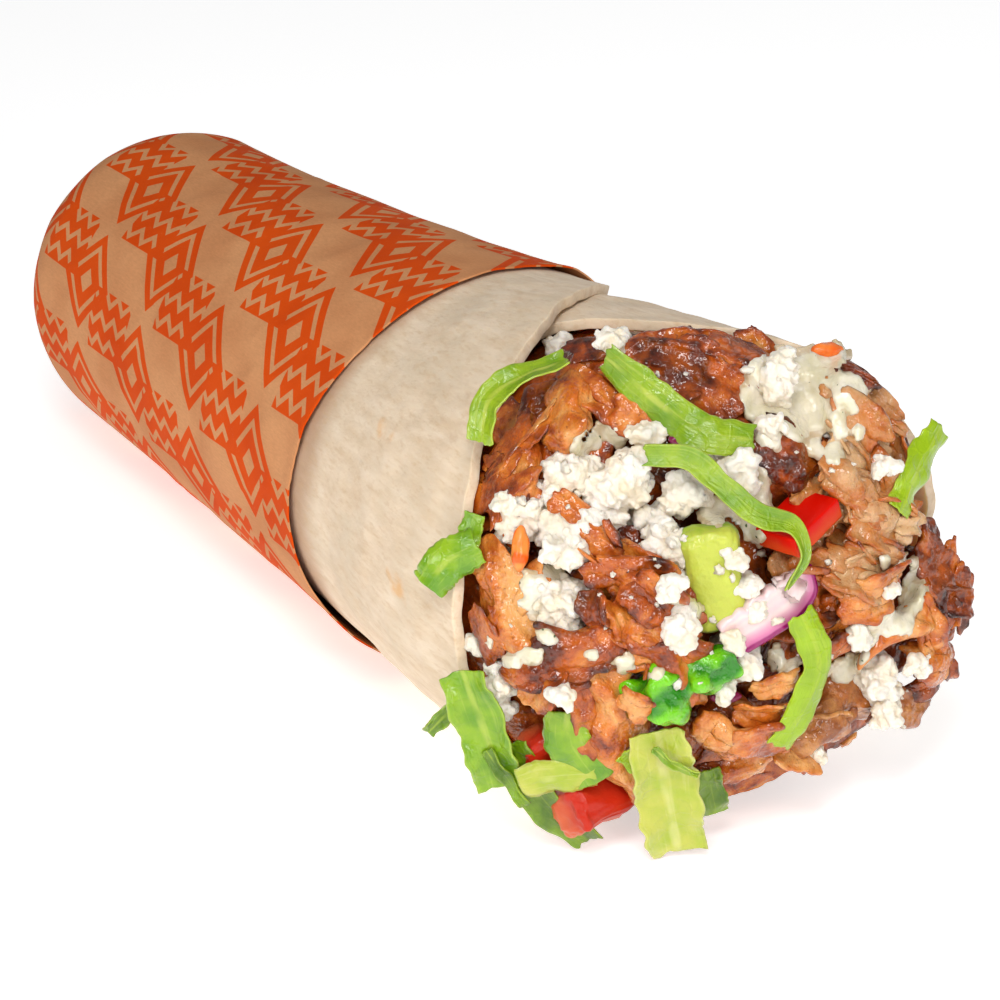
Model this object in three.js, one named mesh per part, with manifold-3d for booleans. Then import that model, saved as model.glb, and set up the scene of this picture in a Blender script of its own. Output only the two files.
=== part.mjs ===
// A piadina kebab wrap lying on its side: a soft flatbread rolled once and a quarter round a kebab
// filling, its back half in a sleeve of printed kraft paper, its mouth open on the heaped filling.
// Millimetres. The roll's axis runs along +X to the mouth, +Z is up, and x = 0 is the sleeve's back
// until the finished group is moved so that its origin is the middle of the underside.
import * as THREE from "three";
import { mergeVertices } from "three/addons/utils/BufferGeometryUtils.js";
import Module from "manifold-3d";

const wasm = await Module();
wasm.setup();

// The roll.
const ROLL_LENGTH = 210; // back of the sleeve to the middle of the mouth
const BACK_RADIUS = 30.6;
const MOUTH_RADIUS = 42;
const FLARE = 1.7; // the higher, the later the roll widens towards its mouth
const BACK_ROUNDING = 24;
const SETTLE = 1.3; // the roll lies on a narrow flat strip, its axis this much lower than its radius

// Its layers.
const PAPER = 0.5;
const BREAD = 1.8;
const GAP = 0.3; // clearance between neighbouring pieces
const FACET = 9; // degrees between the points round the roll
const FLAP_ANGLE = 65; // the bread's outer edge, measured from the far side (+Y) over the top (90)
const BREAD_WRAP = 450; // degrees that the bread goes round

// The sleeve's open edge waves along the roll.
const SLEEVE_LENGTH = 144;
const SLEEVE_WAVE = 4;
const SLEEVE_WAVE_ANGLE = 95;
const SLEEVE_RAMP = 27; // degrees over which the paper climbs the bread's flap

// The bread's mouth: the flap is drawn back at the top, the inner layer less so.
const BREAD_START = 10;
const BREAD_TUCK = 5.5; // it narrows in the sleeve's rounded back
const OUT_OF_SLEEVE = 150; // the paper's edge never reaches this far
const NEAR_RIM = 203;
const FAR_RIM = 217;
const FLAP_PULL = 45; // how far the flap's corner lies behind the near rim
const FLAP_PULL_WRAP = 110; // degrees over which it comes forward again
const INNER_PULL = 40;
const LOW_RIM_DIP = 13; // the rim stays behind the filling low on the far side
const LOW_RIM_TURN = 235;

// The heaped filling's surface in the mouth.
const MOUND_HEIGHT = 13;
const MOUND_RADIUS = 40;
const MOUND_RIM = 1;
const MOUND_LEAN = 5; // it leans out low on the far side
const MOUND_LEAN_ANGLE = 135;
const MOUTH_SKEW = 0.17; // the mouth reaches further on the far side
const MOUTH_RAKE = 0.1; // and at the bottom
const CORE_DEPTH = 6; // the solid filling's surface lies this far under the pieces' tops
const CORE_START = 16;

// Thin pieces.
const LEAF = 0.9;
const FLOOR_CLEARANCE = 0.3;

const radians = THREE.MathUtils.degToRad;
const smooth = (value, from, to) => THREE.MathUtils.smoothstep(value, from, to);

// ---- the roll as a surface ----

const rollRadius = (x) => {
  const along = Math.max(x, BACK_ROUNDING) / ROLL_LENGTH;
  return BACK_RADIUS + (MOUTH_RADIUS - BACK_RADIUS) * along ** FLARE;
};
const axisHeight = (x) => rollRadius(x) - SETTLE;
const MOUTH_HEIGHT = axisHeight(ROLL_LENGTH);

// A layer winds inwards by one bread thickness a turn, level with the mean radius half a turn in.
const layerStep = (turn) => (BREAD + GAP) * (0.5 - turn / 360);

// The point at x along the roll, turn degrees on from the bread's outer edge.
function onRoll(x, turn, step, inset, floor) {
  const angle = radians(FLAP_ANGLE + turn);
  const radius = rollRadius(x) + step - inset;
  const height = axisHeight(x) + radius * Math.sin(angle);
  return new THREE.Vector3(x, radius * Math.cos(angle), Math.max(floor, height));
}

// Turns go from 0 to wrap in steps of FACET, the last one included.
const turns = (wrap) => Array.from({ length: wrap / FACET + 1 }, (_, i) => i * FACET);

// ---- closed meshes from rows of points ----

// Joins loops of points into one closed surface. A fan closes each end round the loop's middle,
// and where strips is set the loop is a flat strip, closed by joining its two long sides.
function loft(loops, strips = false) {
  const around = loops[0].length;
  const points = loops.flat();
  const faces = [];
  const quad = (a, b, c, d) => faces.push(a, b, c, a, c, d);
  for (let i = 0; i + 1 < loops.length; i++)
    for (let j = 0; j < around; j++) {
      const next = (j + 1) % around;
      quad(i * around + j, i * around + next, (i + 1) * around + next, (i + 1) * around + j);
    }
  const close = (start, loop, forward) => {
    if (strips)
      for (let j = 0; j + 1 < around / 2; j++) {
        const far = around - 1 - j;
        const side = [start + j, start + far, start + far - 1, start + j + 1];
        quad(...(forward ? side : side.reverse()));
      }
    else {
      const middle = points.length;
      points.push(loop.reduce((sum, p) => sum.add(p), new THREE.Vector3()).divideScalar(around));
      for (let j = 0; j < around; j++) {
        const pair = [start + j, start + ((j + 1) % around)];
        faces.push(middle, ...(forward ? pair.reverse() : pair));
      }
    }
  };
  close(0, loops[0], true);
  close((loops.length - 1) * around, loops.at(-1), false);
  return facingOut(new THREE.BufferGeometry().setFromPoints(points).setIndex(faces));
}

// Turns the faces round if the closed surface has a negative volume.
function facingOut(geometry) {
  const { position } = geometry.attributes;
  const index = geometry.index.array;
  const [a, b, c] = [new THREE.Vector3(), new THREE.Vector3(), new THREE.Vector3()];
  let volume = 0;
  for (let i = 0; i < index.length; i += 3) {
    [a, b, c].forEach((corner, k) => corner.fromBufferAttribute(position, index[i + k]));
    volume += a.dot(b.cross(c));
  }
  if (volume < 0)
    for (let i = 0; i < index.length; i += 3) [index[i], index[i + 1]] = [index[i + 1], index[i]];
  return geometry;
}

// ---- the sleeve, the bread and the solid filling ----

const sleeveEdge = (turn) => {
  const angle = radians(FLAP_ANGLE + turn - SLEEVE_WAVE_ANGLE);
  return SLEEVE_LENGTH + SLEEVE_WAVE * Math.cos(2 * angle);
};

// The paper follows the bread, and climbs back over its flap in the last degrees of the turn.
function sleeveStep(turn) {
  const climb = Math.max(0, turn - (360 - SLEEVE_RAMP)) / SLEEVE_RAMP;
  return THREE.MathUtils.lerp(layerStep(turn), layerStep(0), climb);
}

function sleeveLoop(place) {
  return turns(360 - FACET).map((turn) => place(turn, sleeveStep(turn)));
}

// A paper cup with a rounded back: its outside from the back to the edge, then its inside back again.
function sleeve() {
  const ROUNDING_STEPS = 5;
  const LENGTH_STEPS = 4;
  const side = (inset) => {
    const loops = [];
    for (let i = 0; i <= ROUNDING_STEPS; i++) {
      const bend = radians((90 * i) / ROUNDING_STEPS);
      const rounding = BACK_ROUNDING - inset;
      const x = BACK_ROUNDING - rounding * Math.cos(bend);
      const shrink = BACK_ROUNDING - rounding * Math.sin(bend);
      loops.push(sleeveLoop((turn, step) => {
        const point = onRoll(BACK_ROUNDING, turn, step, shrink, inset);
        return point.setX(x);
      }));
    }
    for (let i = 1; i <= LENGTH_STEPS; i++)
      loops.push(sleeveLoop((turn, step) => {
        const x = THREE.MathUtils.lerp(BACK_ROUNDING, sleeveEdge(turn), i / LENGTH_STEPS);
        return onRoll(x, turn, step, inset, inset);
      }));
    return loops;
  };
  return loft([...side(0), ...side(PAPER).reverse()]);
}

// Where the bread ends in the mouth.
function breadRim(turn) {
  if (turn < FLAP_PULL_WRAP) return NEAR_RIM - FLAP_PULL * (1 - turn / FLAP_PULL_WRAP) ** 1.5;
  const forward = smooth(turn, FLAP_PULL_WRAP, 300);
  const dip = LOW_RIM_DIP * Math.exp(-(((turn - LOW_RIM_TURN) / 45) ** 2));
  const pulled = INNER_PULL * smooth(turn, 345, 400);
  return THREE.MathUtils.lerp(NEAR_RIM, FAR_RIM, forward) - dip - pulled;
}

// The bread lies in the sleeve, and its outside comes level with the roll's past the paper's edge.
const breadInset = (x) => {
  const inSleeve = 1 - smooth(x, OUT_OF_SLEEVE, OUT_OF_SLEEVE + 24);
  const atBack = 1 - smooth(x, BREAD_START, BACK_ROUNDING);
  return (PAPER + GAP) * inSleeve + BREAD_TUCK * atBack;
};

const breadPoint = (x, turn, depth) => {
  const inset = breadInset(x);
  return onRoll(x, turn, layerStep(turn), inset + depth, Math.min(inset, PAPER + GAP) + depth);
};

const SHELTERED = [BACK_ROUNDING, 62, 106, OUT_OF_SLEEVE]; // stations that bread and filling share

function flatbread() {
  const strip = (turn) => {
    const open = [0.35, 0.7, 1].map((s) => THREE.MathUtils.lerp(OUT_OF_SLEEVE, breadRim(turn), s));
    const xs = [BREAD_START, ...SHELTERED, ...open];
    const outside = xs.map((x) => breadPoint(x, turn, 0));
    const inside = xs.map((x) => breadPoint(x, turn, BREAD));
    return [...outside, ...inside.reverse()];
  };
  return loft(turns(BREAD_WRAP).map(strip), true);
}

// The heaped filling's reach along the roll, at a place across the mouth from its middle.
function mound(y, up) {
  const out = Math.hypot(y, up) / MOUND_RADIUS;
  const lean = MOUND_LEAN * Math.cos(Math.atan2(up, y) - radians(MOUND_LEAN_ANGLE));
  const rim = MOUND_RIM - lean * Math.min(1, out);
  const height = rim + (MOUND_HEIGHT - rim) * (1 - Math.min(1.2, out) ** 2);
  return ROLL_LENGTH + MOUTH_SKEW * y - MOUTH_RAKE * up + height;
}

const onMound = ([y, up], lift) => new THREE.Vector3(mound(y, up) + lift, y, MOUTH_HEIGHT + up);

// The packed filling behind the pieces that show: it fills the bread and bulges out of the mouth.
function fillingCore() {
  const CORE_FACET = 2 * FACET;
  const SHOULDER_DEPTH = 8;
  const SHOULDER_TUCK = 3;
  const SHOULDER_FALL = 5;
  const MOUND_RINGS = [0.96, 0.85, 0.65, 0.4, 0.18];
  const sides = turns(360 - CORE_FACET).filter((turn) => turn % CORE_FACET === 0);
  const innermost = (turn) => (turn + 360 <= BREAD_WRAP ? turn + 360 : turn);
  const wall = (x, turn, deeper = 0) => breadPoint(x, innermost(turn), BREAD + 2 * GAP + deeper);
  const shoulder = (turn) => {
    const { y, z } = wall(ROLL_LENGTH, turn);
    const crest = mound(y, z - MOUTH_HEIGHT) - CORE_DEPTH - SHOULDER_DEPTH;
    const behindRim = Math.min(breadRim(turn), breadRim(innermost(turn))) - SHOULDER_TUCK;
    return wall(Math.min(behindRim, crest), turn, SHOULDER_TUCK / 2);
  };
  const side = [CORE_START, ...SHELTERED].map((x) => sides.map((turn) => wall(x, turn)));
  side.push(sides.map(shoulder));
  const cap = MOUND_RINGS.map((ring) =>
    sides.map((turn) => {
      const edge = wall(ROLL_LENGTH, turn);
      const place = [edge.y * ring, (edge.z - MOUTH_HEIGHT) * ring];
      return onMound(place, -CORE_DEPTH - SHOULDER_FALL * smooth(ring, 0.8, 1));
    }));
  return loft([...side, ...cap]);
}

// ---- the pieces of the filling ----

// A smooth irregular value between about -1 and 1 for a place and a seed.
const uneven = (place, seed, size) => {
  const { x, y, z } = place.clone().divideScalar(size);
  return (Math.sin(2.1 * x + 1.7 * y + seed) + Math.sin(1.9 * z - 2.3 * y + 2.7 * seed)
    + Math.sin(2.6 * z + 1.3 * x + 4.1 * seed)) / 2;
};

// The outward direction of the mound at a place across the mouth.
function moundUp(y, up) {
  const STEP = 2;
  const slopeY = (mound(y + STEP, up) - mound(y - STEP, up)) / (2 * STEP);
  const slopeZ = (mound(y, up + STEP) - mound(y, up - STEP)) / (2 * STEP);
  return new THREE.Vector3(1, -slopeY, -slopeZ).normalize();
}

// Stations along a smooth line over the mound, each with its direction, its side and its up.
function laidLine({ at, lift, arch = 0, roll = 0 }, steps) {
  const line = new THREE.CatmullRomCurve3(at.map((place) => onMound(place, lift)), false, "centripetal");
  return Array.from({ length: steps + 1 }, (_, i) => {
    const along = i / steps;
    const point = line.getPointAt(along);
    const forward = line.getTangentAt(along);
    const out = moundUp(point.y, point.z - MOUTH_HEIGHT);
    const side = out.clone().cross(forward).normalize().applyAxisAngle(forward, radians(roll));
    const up = forward.clone().cross(side);
    point.addScaledVector(out, arch * Math.sin(Math.PI * along));
    return { along, point, side, up };
  });
}

// A torn slab laid on the filling: uneven round sections, full in the middle and blunt at its ends.
function slab(piece) {
  const { wide, thick, blunt = 0.6, rough = 0.16, steps = 5, corners = 8, seed } = piece;
  const loops = laidLine(piece, steps).map(({ along, point, side, up }) => {
    const full = blunt + (1 - blunt) * Math.sin(Math.PI * along) ** 0.7;
    const middle = point.clone().addScaledVector(up, -thick / 2);
    return Array.from({ length: corners }, (_, i) => {
      const angle = (2 * Math.PI * i) / corners;
      const across = Math.sign(Math.cos(angle)) * Math.abs(Math.cos(angle)) ** 0.8;
      const corner = middle.clone()
        .addScaledVector(side, (across * wide * full) / 2)
        .addScaledVector(up, (Math.sin(angle) * thick * (0.4 + 0.6 * full)) / 2);
      const push = 1 + rough * uneven(corner, seed, wide / 2);
      return corner.sub(middle).multiplyScalar(push).add(middle);
    });
  });
  return loft(loops);
}

// A shred of leaf: a thin sheet along its line, ruffled at its sides and folded at its middle.
function leaf(piece) {
  const { wide, ruffle = 0.9, fold = 0.8, waves = 2.5, taper = 0.45, steps = 8, seed } = piece;
  const ACROSS = [-1, -0.35, 0.35, 1];
  const loops = laidLine(piece, steps).map(({ along, point, side, up }) => {
    const full = taper + (1 - taper) * Math.sin(Math.PI * (0.12 + 0.76 * along)) ** 0.6;
    const top = ACROSS.map((v) => {
      const wave = Math.sin(2 * Math.PI * (waves * along + 0.2 * v) + seed);
      const rise = ruffle * wave * Math.abs(v) + fold * v * v;
      return point.clone().addScaledVector(side, (v * wide * full) / 2).addScaledVector(up, rise);
    });
    const bottom = top.map((p) => p.clone().addScaledVector(up, -LEAF));
    return [...top, ...bottom.reverse()];
  });
  return loft(loops, true);
}

// A clump of crumbled cheese.
function clump({ at, wide, high = wide, thick, lift, seed }) {
  const ball = new THREE.IcosahedronGeometry(1, 1);
  const out = moundUp(...at[0]);
  const side = new THREE.Vector3(0, 1, 0).cross(out).cross(out).negate().normalize();
  const frame = new THREE.Matrix4().makeBasis(side, out.clone().cross(side), out);
  const middle = onMound(at[0], lift).addScaledVector(out, -thick / 2);
  ball.deleteAttribute("normal");
  ball.deleteAttribute("uv");
  const geometry = mergeVertices(ball);
  const { position } = geometry.attributes;
  for (let i = 0; i < position.count; i++) {
    const p = new THREE.Vector3().fromBufferAttribute(position, i);
    p.multiplyScalar(1 + 0.17 * uneven(p, seed, 0.5));
    p.set((p.x * wide) / 2, (p.y * high) / 2, (p.z * thick) / 2).applyMatrix4(frame).add(middle);
    position.setXYZ(i, p.x, p.y, p.z);
  }
  return facingOut(geometry);
}

// Colour and roughness of each kind of piece.
const FINISHES = {
  kraft: [0xcd9164, 0.85],
  bread: [0xd8c6a4, 0.9],
  filling: [0x6b3f22, 0.7],
  meat: [0x9a5a2c, 0.5],
  paleMeat: [0xb98d70, 0.5],
  cheese: [0xf2ebdc, 0.8],
  lettuce: [0x8fc43c, 0.4],
  paleLettuce: [0xc4d873, 0.4],
  pepper: [0x3f9a1e, 0.25],
  avocado: [0xb9d259, 0.4],
  tomato: [0xc9301d, 0.3],
  onion: [0xdcb4c8, 0.35],
  carrot: [0xe8702a, 0.5],
  sauce: [0xdcd8bc, 0.3],
};

// The pieces that show in the mouth. at gives places along each piece, to the far side and up from
// the mouth's middle, and lift how far its top stands over the mound. A piece gives way to those
// above it in the list.
const PIECES = [
  // shreds of lettuce over the rest
  { name: "lettuce_01", make: leaf, finish: "lettuce", at: [[-15, 39], [-10, 36], [-5, 31], [3, 27]], wide: 5, lift: 7, roll: 25 },
  { name: "lettuce_02", make: leaf, finish: "lettuce", at: [[-16, 28], [-9, 26], [-3, 20], [2, 17], [3, 9]], wide: 3, lift: 9, waves: 1.5 },
  { name: "lettuce_03", make: leaf, finish: "lettuce", at: [[5, 3], [10, -8], [5, -21]], wide: 5, lift: 8, arch: 2 },
  { name: "lettuce_04", make: leaf, finish: "paleLettuce", at: [[-16, -12], [-14, -27], [-10, -40]], wide: 9.5, lift: 7, fold: 1.6 },
  { name: "lettuce_05", make: leaf, finish: "lettuce", at: [[-34, 27], [-30, 33], [-25, 36], [-20, 38]], wide: 4.4, lift: 4, arch: 2, roll: -30 },
  { name: "lettuce_06", make: leaf, finish: "lettuce", at: [[26, 14], [30, 19], [36, 21]], wide: 4.6, lift: 7, fold: 1.5 },
  { name: "lettuce_07", make: leaf, finish: "lettuce", at: [[-43, 6], [-41, 9], [-37, 14]], wide: 6, lift: 5, fold: -1 },
  { name: "lettuce_08", make: leaf, finish: "lettuce", at: [[-40, -7], [-38, -16], [-36, -27]], wide: 7.5, lift: 5, fold: 1.4 },
  { name: "lettuce_09", make: leaf, finish: "lettuce", at: [[-34, -20], [-29, -30], [-22, -39]], wide: 5, lift: 4 },
  { name: "lettuce_10", make: leaf, finish: "paleLettuce", at: [[-28, -12], [-27, -19], [-28, -27]], wide: 6, lift: 6, fold: -1 },
  { name: "lettuce_11", make: leaf, finish: "lettuce", at: [[-7, -26], [-4, -35]], wide: 4.5, lift: 3, steps: 5 },
  // vegetables
  { name: "pepper", make: slab, finish: "pepper", at: [[-20, -13], [-13, -10], [-4, -6]], wide: 9, thick: 9, lift: 6, arch: 1.5 },
  { name: "onion_01", make: slab, finish: "onion", at: [[-4, -4], [4, 1], [10, 6]], wide: 8, thick: 3, lift: 6, arch: 1.5, rough: 0.05 },
  { name: "carrot_01", make: slab, finish: "carrot", at: [[-33, 17], [-32, 12]], wide: 2.6, thick: 4, lift: 8, steps: 3, corners: 6 },
  { name: "tomato_01", make: slab, finish: "tomato", at: [[4, 14], [15, 16]], wide: 7, thick: 9, lift: 6, blunt: 0.85, rough: 0.05, corners: 6 },
  { name: "tomato_02", make: slab, finish: "tomato", at: [[-32, -21], [-27, -27]], wide: 7.5, thick: 8, lift: 2, rough: 0.06 },
  { name: "tomato_03", make: slab, finish: "tomato", at: [[-28, -34], [-13, -33]], wide: 10, thick: 9, lift: 2, rough: 0.06 },
  { name: "avocado", make: slab, finish: "avocado", at: [[-7, 15], [-6, -2]], wide: 8, thick: 9, lift: 4, blunt: 0.5, rough: 0.04 },
  // sauce poured over
  { name: "sauce_01", make: slab, finish: "sauce", at: [[3, 33], [13, 32], [25, 31]], wide: 13, thick: 5, lift: 6, blunt: 0.7, rough: 0.2 },
  { name: "sauce_02", make: slab, finish: "sauce", at: [[-4, 27], [5, 17]], wide: 9, thick: 5, lift: 5, rough: 0.15 },
  { name: "sauce_03", make: slab, finish: "sauce", at: [[28, 4], [25, -10]], wide: 9, thick: 6, lift: 5, rough: 0.2 },
  // crumbled cheese
  { name: "cheese_01", make: clump, finish: "cheese", at: [[-12, 41]], wide: 7, thick: 7, lift: 4 },
  { name: "cheese_02", make: clump, finish: "cheese", at: [[-24, 24]], wide: 10, thick: 10, lift: 7 },
  { name: "cheese_03", make: clump, finish: "cheese", at: [[-16, 23]], wide: 11, thick: 11, lift: 7 },
  { name: "cheese_04", make: clump, finish: "cheese", at: [[-32, 18]], wide: 10, thick: 10, lift: 6 },
  { name: "cheese_05", make: clump, finish: "cheese", at: [[-26, 16]], wide: 11, thick: 12, lift: 7 },
  { name: "cheese_06", make: clump, finish: "cheese", at: [[-31, 3]], wide: 10, thick: 10, lift: 6 },
  { name: "cheese_07", make: clump, finish: "cheese", at: [[-9, 19]], wide: 8, thick: 10, lift: 5 },
  { name: "cheese_08", make: clump, finish: "cheese", at: [[-14, 11]], wide: 9, high: 11, thick: 10, lift: 6 },
  { name: "cheese_09", make: clump, finish: "cheese", at: [[-1, 25]], wide: 8, thick: 8, lift: 8 },
  { name: "cheese_10", make: clump, finish: "cheese", at: [[11, 36]], wide: 8, high: 10, thick: 8, lift: 9 },
  { name: "cheese_11", make: clump, finish: "cheese", at: [[-2, 5]], wide: 9, high: 10, thick: 11, lift: 6 },
  { name: "cheese_12", make: clump, finish: "cheese", at: [[-36, -13]], wide: 7, high: 9, thick: 8, lift: 4 },
  { name: "cheese_13", make: clump, finish: "cheese", at: [[23, -17]], wide: 8, high: 11, thick: 10, lift: 7 },
  { name: "cheese_14", make: clump, finish: "cheese", at: [[-7, -5]], wide: 9, thick: 9, lift: 5 },
  // shaved kebab meat
  { name: "meat_01", make: slab, finish: "meat", at: [[-18, 41], [-26, 26]], wide: 11, thick: 9, lift: 6 },
  { name: "meat_02", make: slab, finish: "meat", at: [[-28, 32], [-32, 20]], wide: 11, thick: 10, lift: 3 },
  { name: "meat_03", make: slab, finish: "meat", at: [[-19, 39], [-14, 41], [-8, 39]], wide: 6, thick: 9, lift: 3, arch: 1 },
  { name: "meat_04", make: slab, finish: "meat", at: [[-17, 32], [-7, 33]], wide: 10, thick: 9, lift: 3 },
  { name: "meat_05", make: slab, finish: "meat", at: [[-7, 39], [0, 37], [8, 28]], wide: 13, thick: 12, lift: 3, roll: 12 },
  { name: "meat_06", make: slab, finish: "meat", at: [[5, 23], [22, 20]], wide: 12, thick: 10, lift: 3 },
  { name: "meat_07", make: slab, finish: "paleMeat", at: [[22, 33], [35, 16]], wide: 11, thick: 10, lift: 3 },
  { name: "meat_08", make: slab, finish: "paleMeat", at: [[13, 16], [29, 9]], wide: 10, thick: 9, lift: 4, roll: -10 },
  { name: "meat_09", make: slab, finish: "paleMeat", at: [[9, 7], [24, 4]], wide: 10, thick: 9, lift: 4, roll: 14 },
  { name: "meat_10", make: slab, finish: "meat", at: [[35, 3], [39, -15]], wide: 11, thick: 11, lift: 4, rough: 0.22 },
  { name: "meat_11", make: slab, finish: "meat", at: [[19, -14], [26, -8], [37, -12]], wide: 4, thick: 5, lift: 7, arch: 1.5 },
  { name: "meat_12", make: slab, finish: "meat", at: [[14, -22], [31, -22]], wide: 11, thick: 10, lift: 3 },
  { name: "meat_13", make: slab, finish: "meat", at: [[-8, -21], [12, -22]], wide: 12, thick: 10, lift: 3, roll: -12 },
  { name: "meat_14", make: slab, finish: "meat", at: [[-23, 14], [-13, 3]], wide: 11, thick: 11, lift: 6, rough: 0.25 },
  { name: "meat_15", make: slab, finish: "meat", at: [[-34, -6], [-22, -1]], wide: 8, thick: 10, lift: 5, rough: 0.22 },
  { name: "meat_16", make: slab, finish: "meat", at: [[-26, -3], [-22, -12], [-20, -21], [-16, -34]], wide: 10, thick: 8, lift: 7, blunt: 0.3, steps: 7 },
  { name: "meat_17", make: slab, finish: "meat", at: [[-37, 12], [-36, -4]], wide: 9, thick: 10, lift: 4 },
  { name: "meat_18", make: slab, finish: "meat", at: [[-18, 4], [-14, -9]], wide: 9, thick: 10, lift: 6, rough: 0.24 },
  { name: "meat_19", make: slab, finish: "meat", at: [[0, -31], [15, -31]], wide: 9, thick: 9, lift: 0 },
  { name: "meat_20", make: slab, finish: "meat", at: [[2, -6], [19, -2]], wide: 11, thick: 9, lift: 3 },
  { name: "meat_21", make: slab, finish: "meat", at: [[25, 31], [34, 21]], wide: 8, thick: 9, lift: 5, roll: 20, rough: 0.24 },
];

// ---- cutting each piece clear of its neighbours ----

const toSolid = (geometry) => new wasm.Manifold(new wasm.Mesh({
  numProp: 3,
  vertProperties: new Float32Array(geometry.attributes.position.array),
  triVerts: new Uint32Array(geometry.index.array),
}));

function toGeometry(solid) {
  const { vertProperties, triVerts } = solid.getMesh();
  return new THREE.BufferGeometry()
    .setAttribute("position", new THREE.BufferAttribute(vertProperties, 3))
    .setIndex(new THREE.BufferAttribute(triVerts, 1));
}

// The same shape grown by the gap between pieces: each point moves far enough for all its faces.
function swollen(geometry) {
  const grown = geometry.clone();
  grown.computeVertexNormals();
  const { position, normal } = grown.attributes;
  const corner = (i) => new THREE.Vector3().fromBufferAttribute(position, i);
  const outward = (i) => new THREE.Vector3().fromBufferAttribute(normal, i);
  const slant = new Float32Array(position.count).fill(1);
  const index = grown.index.array;
  for (let i = 0; i < index.length; i += 3) {
    const trio = [index[i], index[i + 1], index[i + 2]];
    const face = new THREE.Triangle(...trio.map(corner)).getNormal(new THREE.Vector3());
    trio.forEach((k) => { slant[k] = Math.min(slant[k], outward(k).dot(face)); });
  }
  for (let i = 0; i < position.count; i++) {
    const point = corner(i).addScaledVector(outward(i), (1.1 * GAP) / Math.max(0.4, slant[i]));
    position.setXYZ(i, point.x, point.y, point.z);
  }
  return grown;
}

// Keeps a piece off the floor, where a low one lies flat.
function aboveFloor(geometry) {
  const { position } = geometry.attributes;
  for (let i = 0; i < position.count; i++)
    position.setZ(i, Math.max(position.getZ(i), FLOOR_CLEARANCE));
  return geometry;
}

function boxesMeet(a, b) {
  [a, b].forEach((geometry) => geometry.boundingBox ?? geometry.computeBoundingBox());
  return a.boundingBox.intersectsBox(b.boundingBox);
}

// Cuts the neighbours out of a piece and keeps its largest remainder.
function cutClear(geometry, neighbours) {
  const touching = neighbours.filter((other) => boxesMeet(geometry, other));
  const cut = touching.reduce((solid, other) => solid.subtract(toSolid(other)), toSolid(geometry));
  const largest = cut.decompose().reduce((a, b) => (a.volume() > b.volume() ? a : b));
  return toGeometry(largest);
}

function mesh(name, finish, geometry) {
  const [color, roughness] = FINISHES[finish];
  const material = new THREE.MeshStandardMaterial({ color, roughness, metalness: 0 });
  const made = new THREE.Mesh(geometry, material);
  made.name = name;
  return made;
}

const roll = new THREE.Group();
const bread = flatbread();
const core = fillingCore();
roll.add(mesh("kraft_paper", "kraft", sleeve()));
roll.add(mesh("flatbread", "bread", bread));
roll.add(mesh("filling_core", "filling", core));

const placed = [swollen(bread), swollen(core)];
PIECES.forEach((piece, seed) => {
  const geometry = aboveFloor(piece.make({ seed, ...piece }));
  roll.add(mesh(piece.name, piece.finish, cutClear(geometry, placed)));
  placed.push(swollen(geometry));
});

// The origin is the middle of the underside.
const box = new THREE.Box3().setFromObject(roll);
const middle = box.getCenter(new THREE.Vector3());
roll.position.set(-middle.x, -middle.y, -box.min.z);

const piadina = new THREE.Group();
piadina.add(roll);

export default piadina;
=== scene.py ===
"""A filled flatbread wrap in a paper sleeve, built over the fixed frame of its solids.

Shapes are made in the roll's own millimetres: x runs from the sleeve's back to the mouth, y to the
far side, z up from the floor, and a place across the mouth is (y, up) from the mouth's middle.
"""
import bisect
import math
import random

import bmesh
import bpy
from mathutils import Matrix, Vector, noise
from mathutils.bvhtree import BVHTree


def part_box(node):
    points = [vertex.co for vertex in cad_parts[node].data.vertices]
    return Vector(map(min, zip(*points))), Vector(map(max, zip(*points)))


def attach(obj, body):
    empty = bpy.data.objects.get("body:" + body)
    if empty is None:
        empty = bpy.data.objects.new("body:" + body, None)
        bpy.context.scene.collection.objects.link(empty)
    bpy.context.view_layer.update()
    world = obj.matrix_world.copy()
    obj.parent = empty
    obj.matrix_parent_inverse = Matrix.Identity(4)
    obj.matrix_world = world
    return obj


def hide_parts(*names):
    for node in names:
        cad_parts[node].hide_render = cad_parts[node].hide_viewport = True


bl_info = {
    "name": "Filled Flatbread Wrap",
    "version": (1, 0, 0),
    "blender": (4, 5, 0),
    "location": "View3D > Sidebar > Wrap",
    "description": "Builds a rolled flatbread in a paper sleeve, its mouth heaped with filling",
    "category": "Add Mesh",
}

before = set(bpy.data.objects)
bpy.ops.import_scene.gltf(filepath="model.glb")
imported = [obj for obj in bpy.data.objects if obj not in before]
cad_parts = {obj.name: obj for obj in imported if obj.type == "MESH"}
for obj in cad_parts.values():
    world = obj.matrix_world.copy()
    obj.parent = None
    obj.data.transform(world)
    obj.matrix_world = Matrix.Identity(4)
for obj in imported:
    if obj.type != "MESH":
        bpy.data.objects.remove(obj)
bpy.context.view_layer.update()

# The sleeve's back end is where x is 0, and its box tells where the roll's axis lies.
SLEEVE_LOW, SLEEVE_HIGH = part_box("kraft_paper")
MM = 0.001
AXIS_SHIFT = 0.525 * MM  # from the middle of the sleeve's box to the roll's axis
TO_ROW = Matrix.Translation(
    (SLEEVE_LOW.x, (SLEEVE_LOW.y + SLEEVE_HIGH.y) / 2 + AXIS_SHIFT, 0)
) @ Matrix.Scale(MM, 4)

# ---- the roll, as the solids have it ----

ROLL_LENGTH = 210
BACK_RADIUS = 30.6
MOUTH_RADIUS = 42
FLARE = 1.7
BACK_ROUNDING = 24
SETTLE = 1.3
LAYER = 2.1  # a thickness of bread and the gap to the next
FLAP_ANGLE = 65

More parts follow.
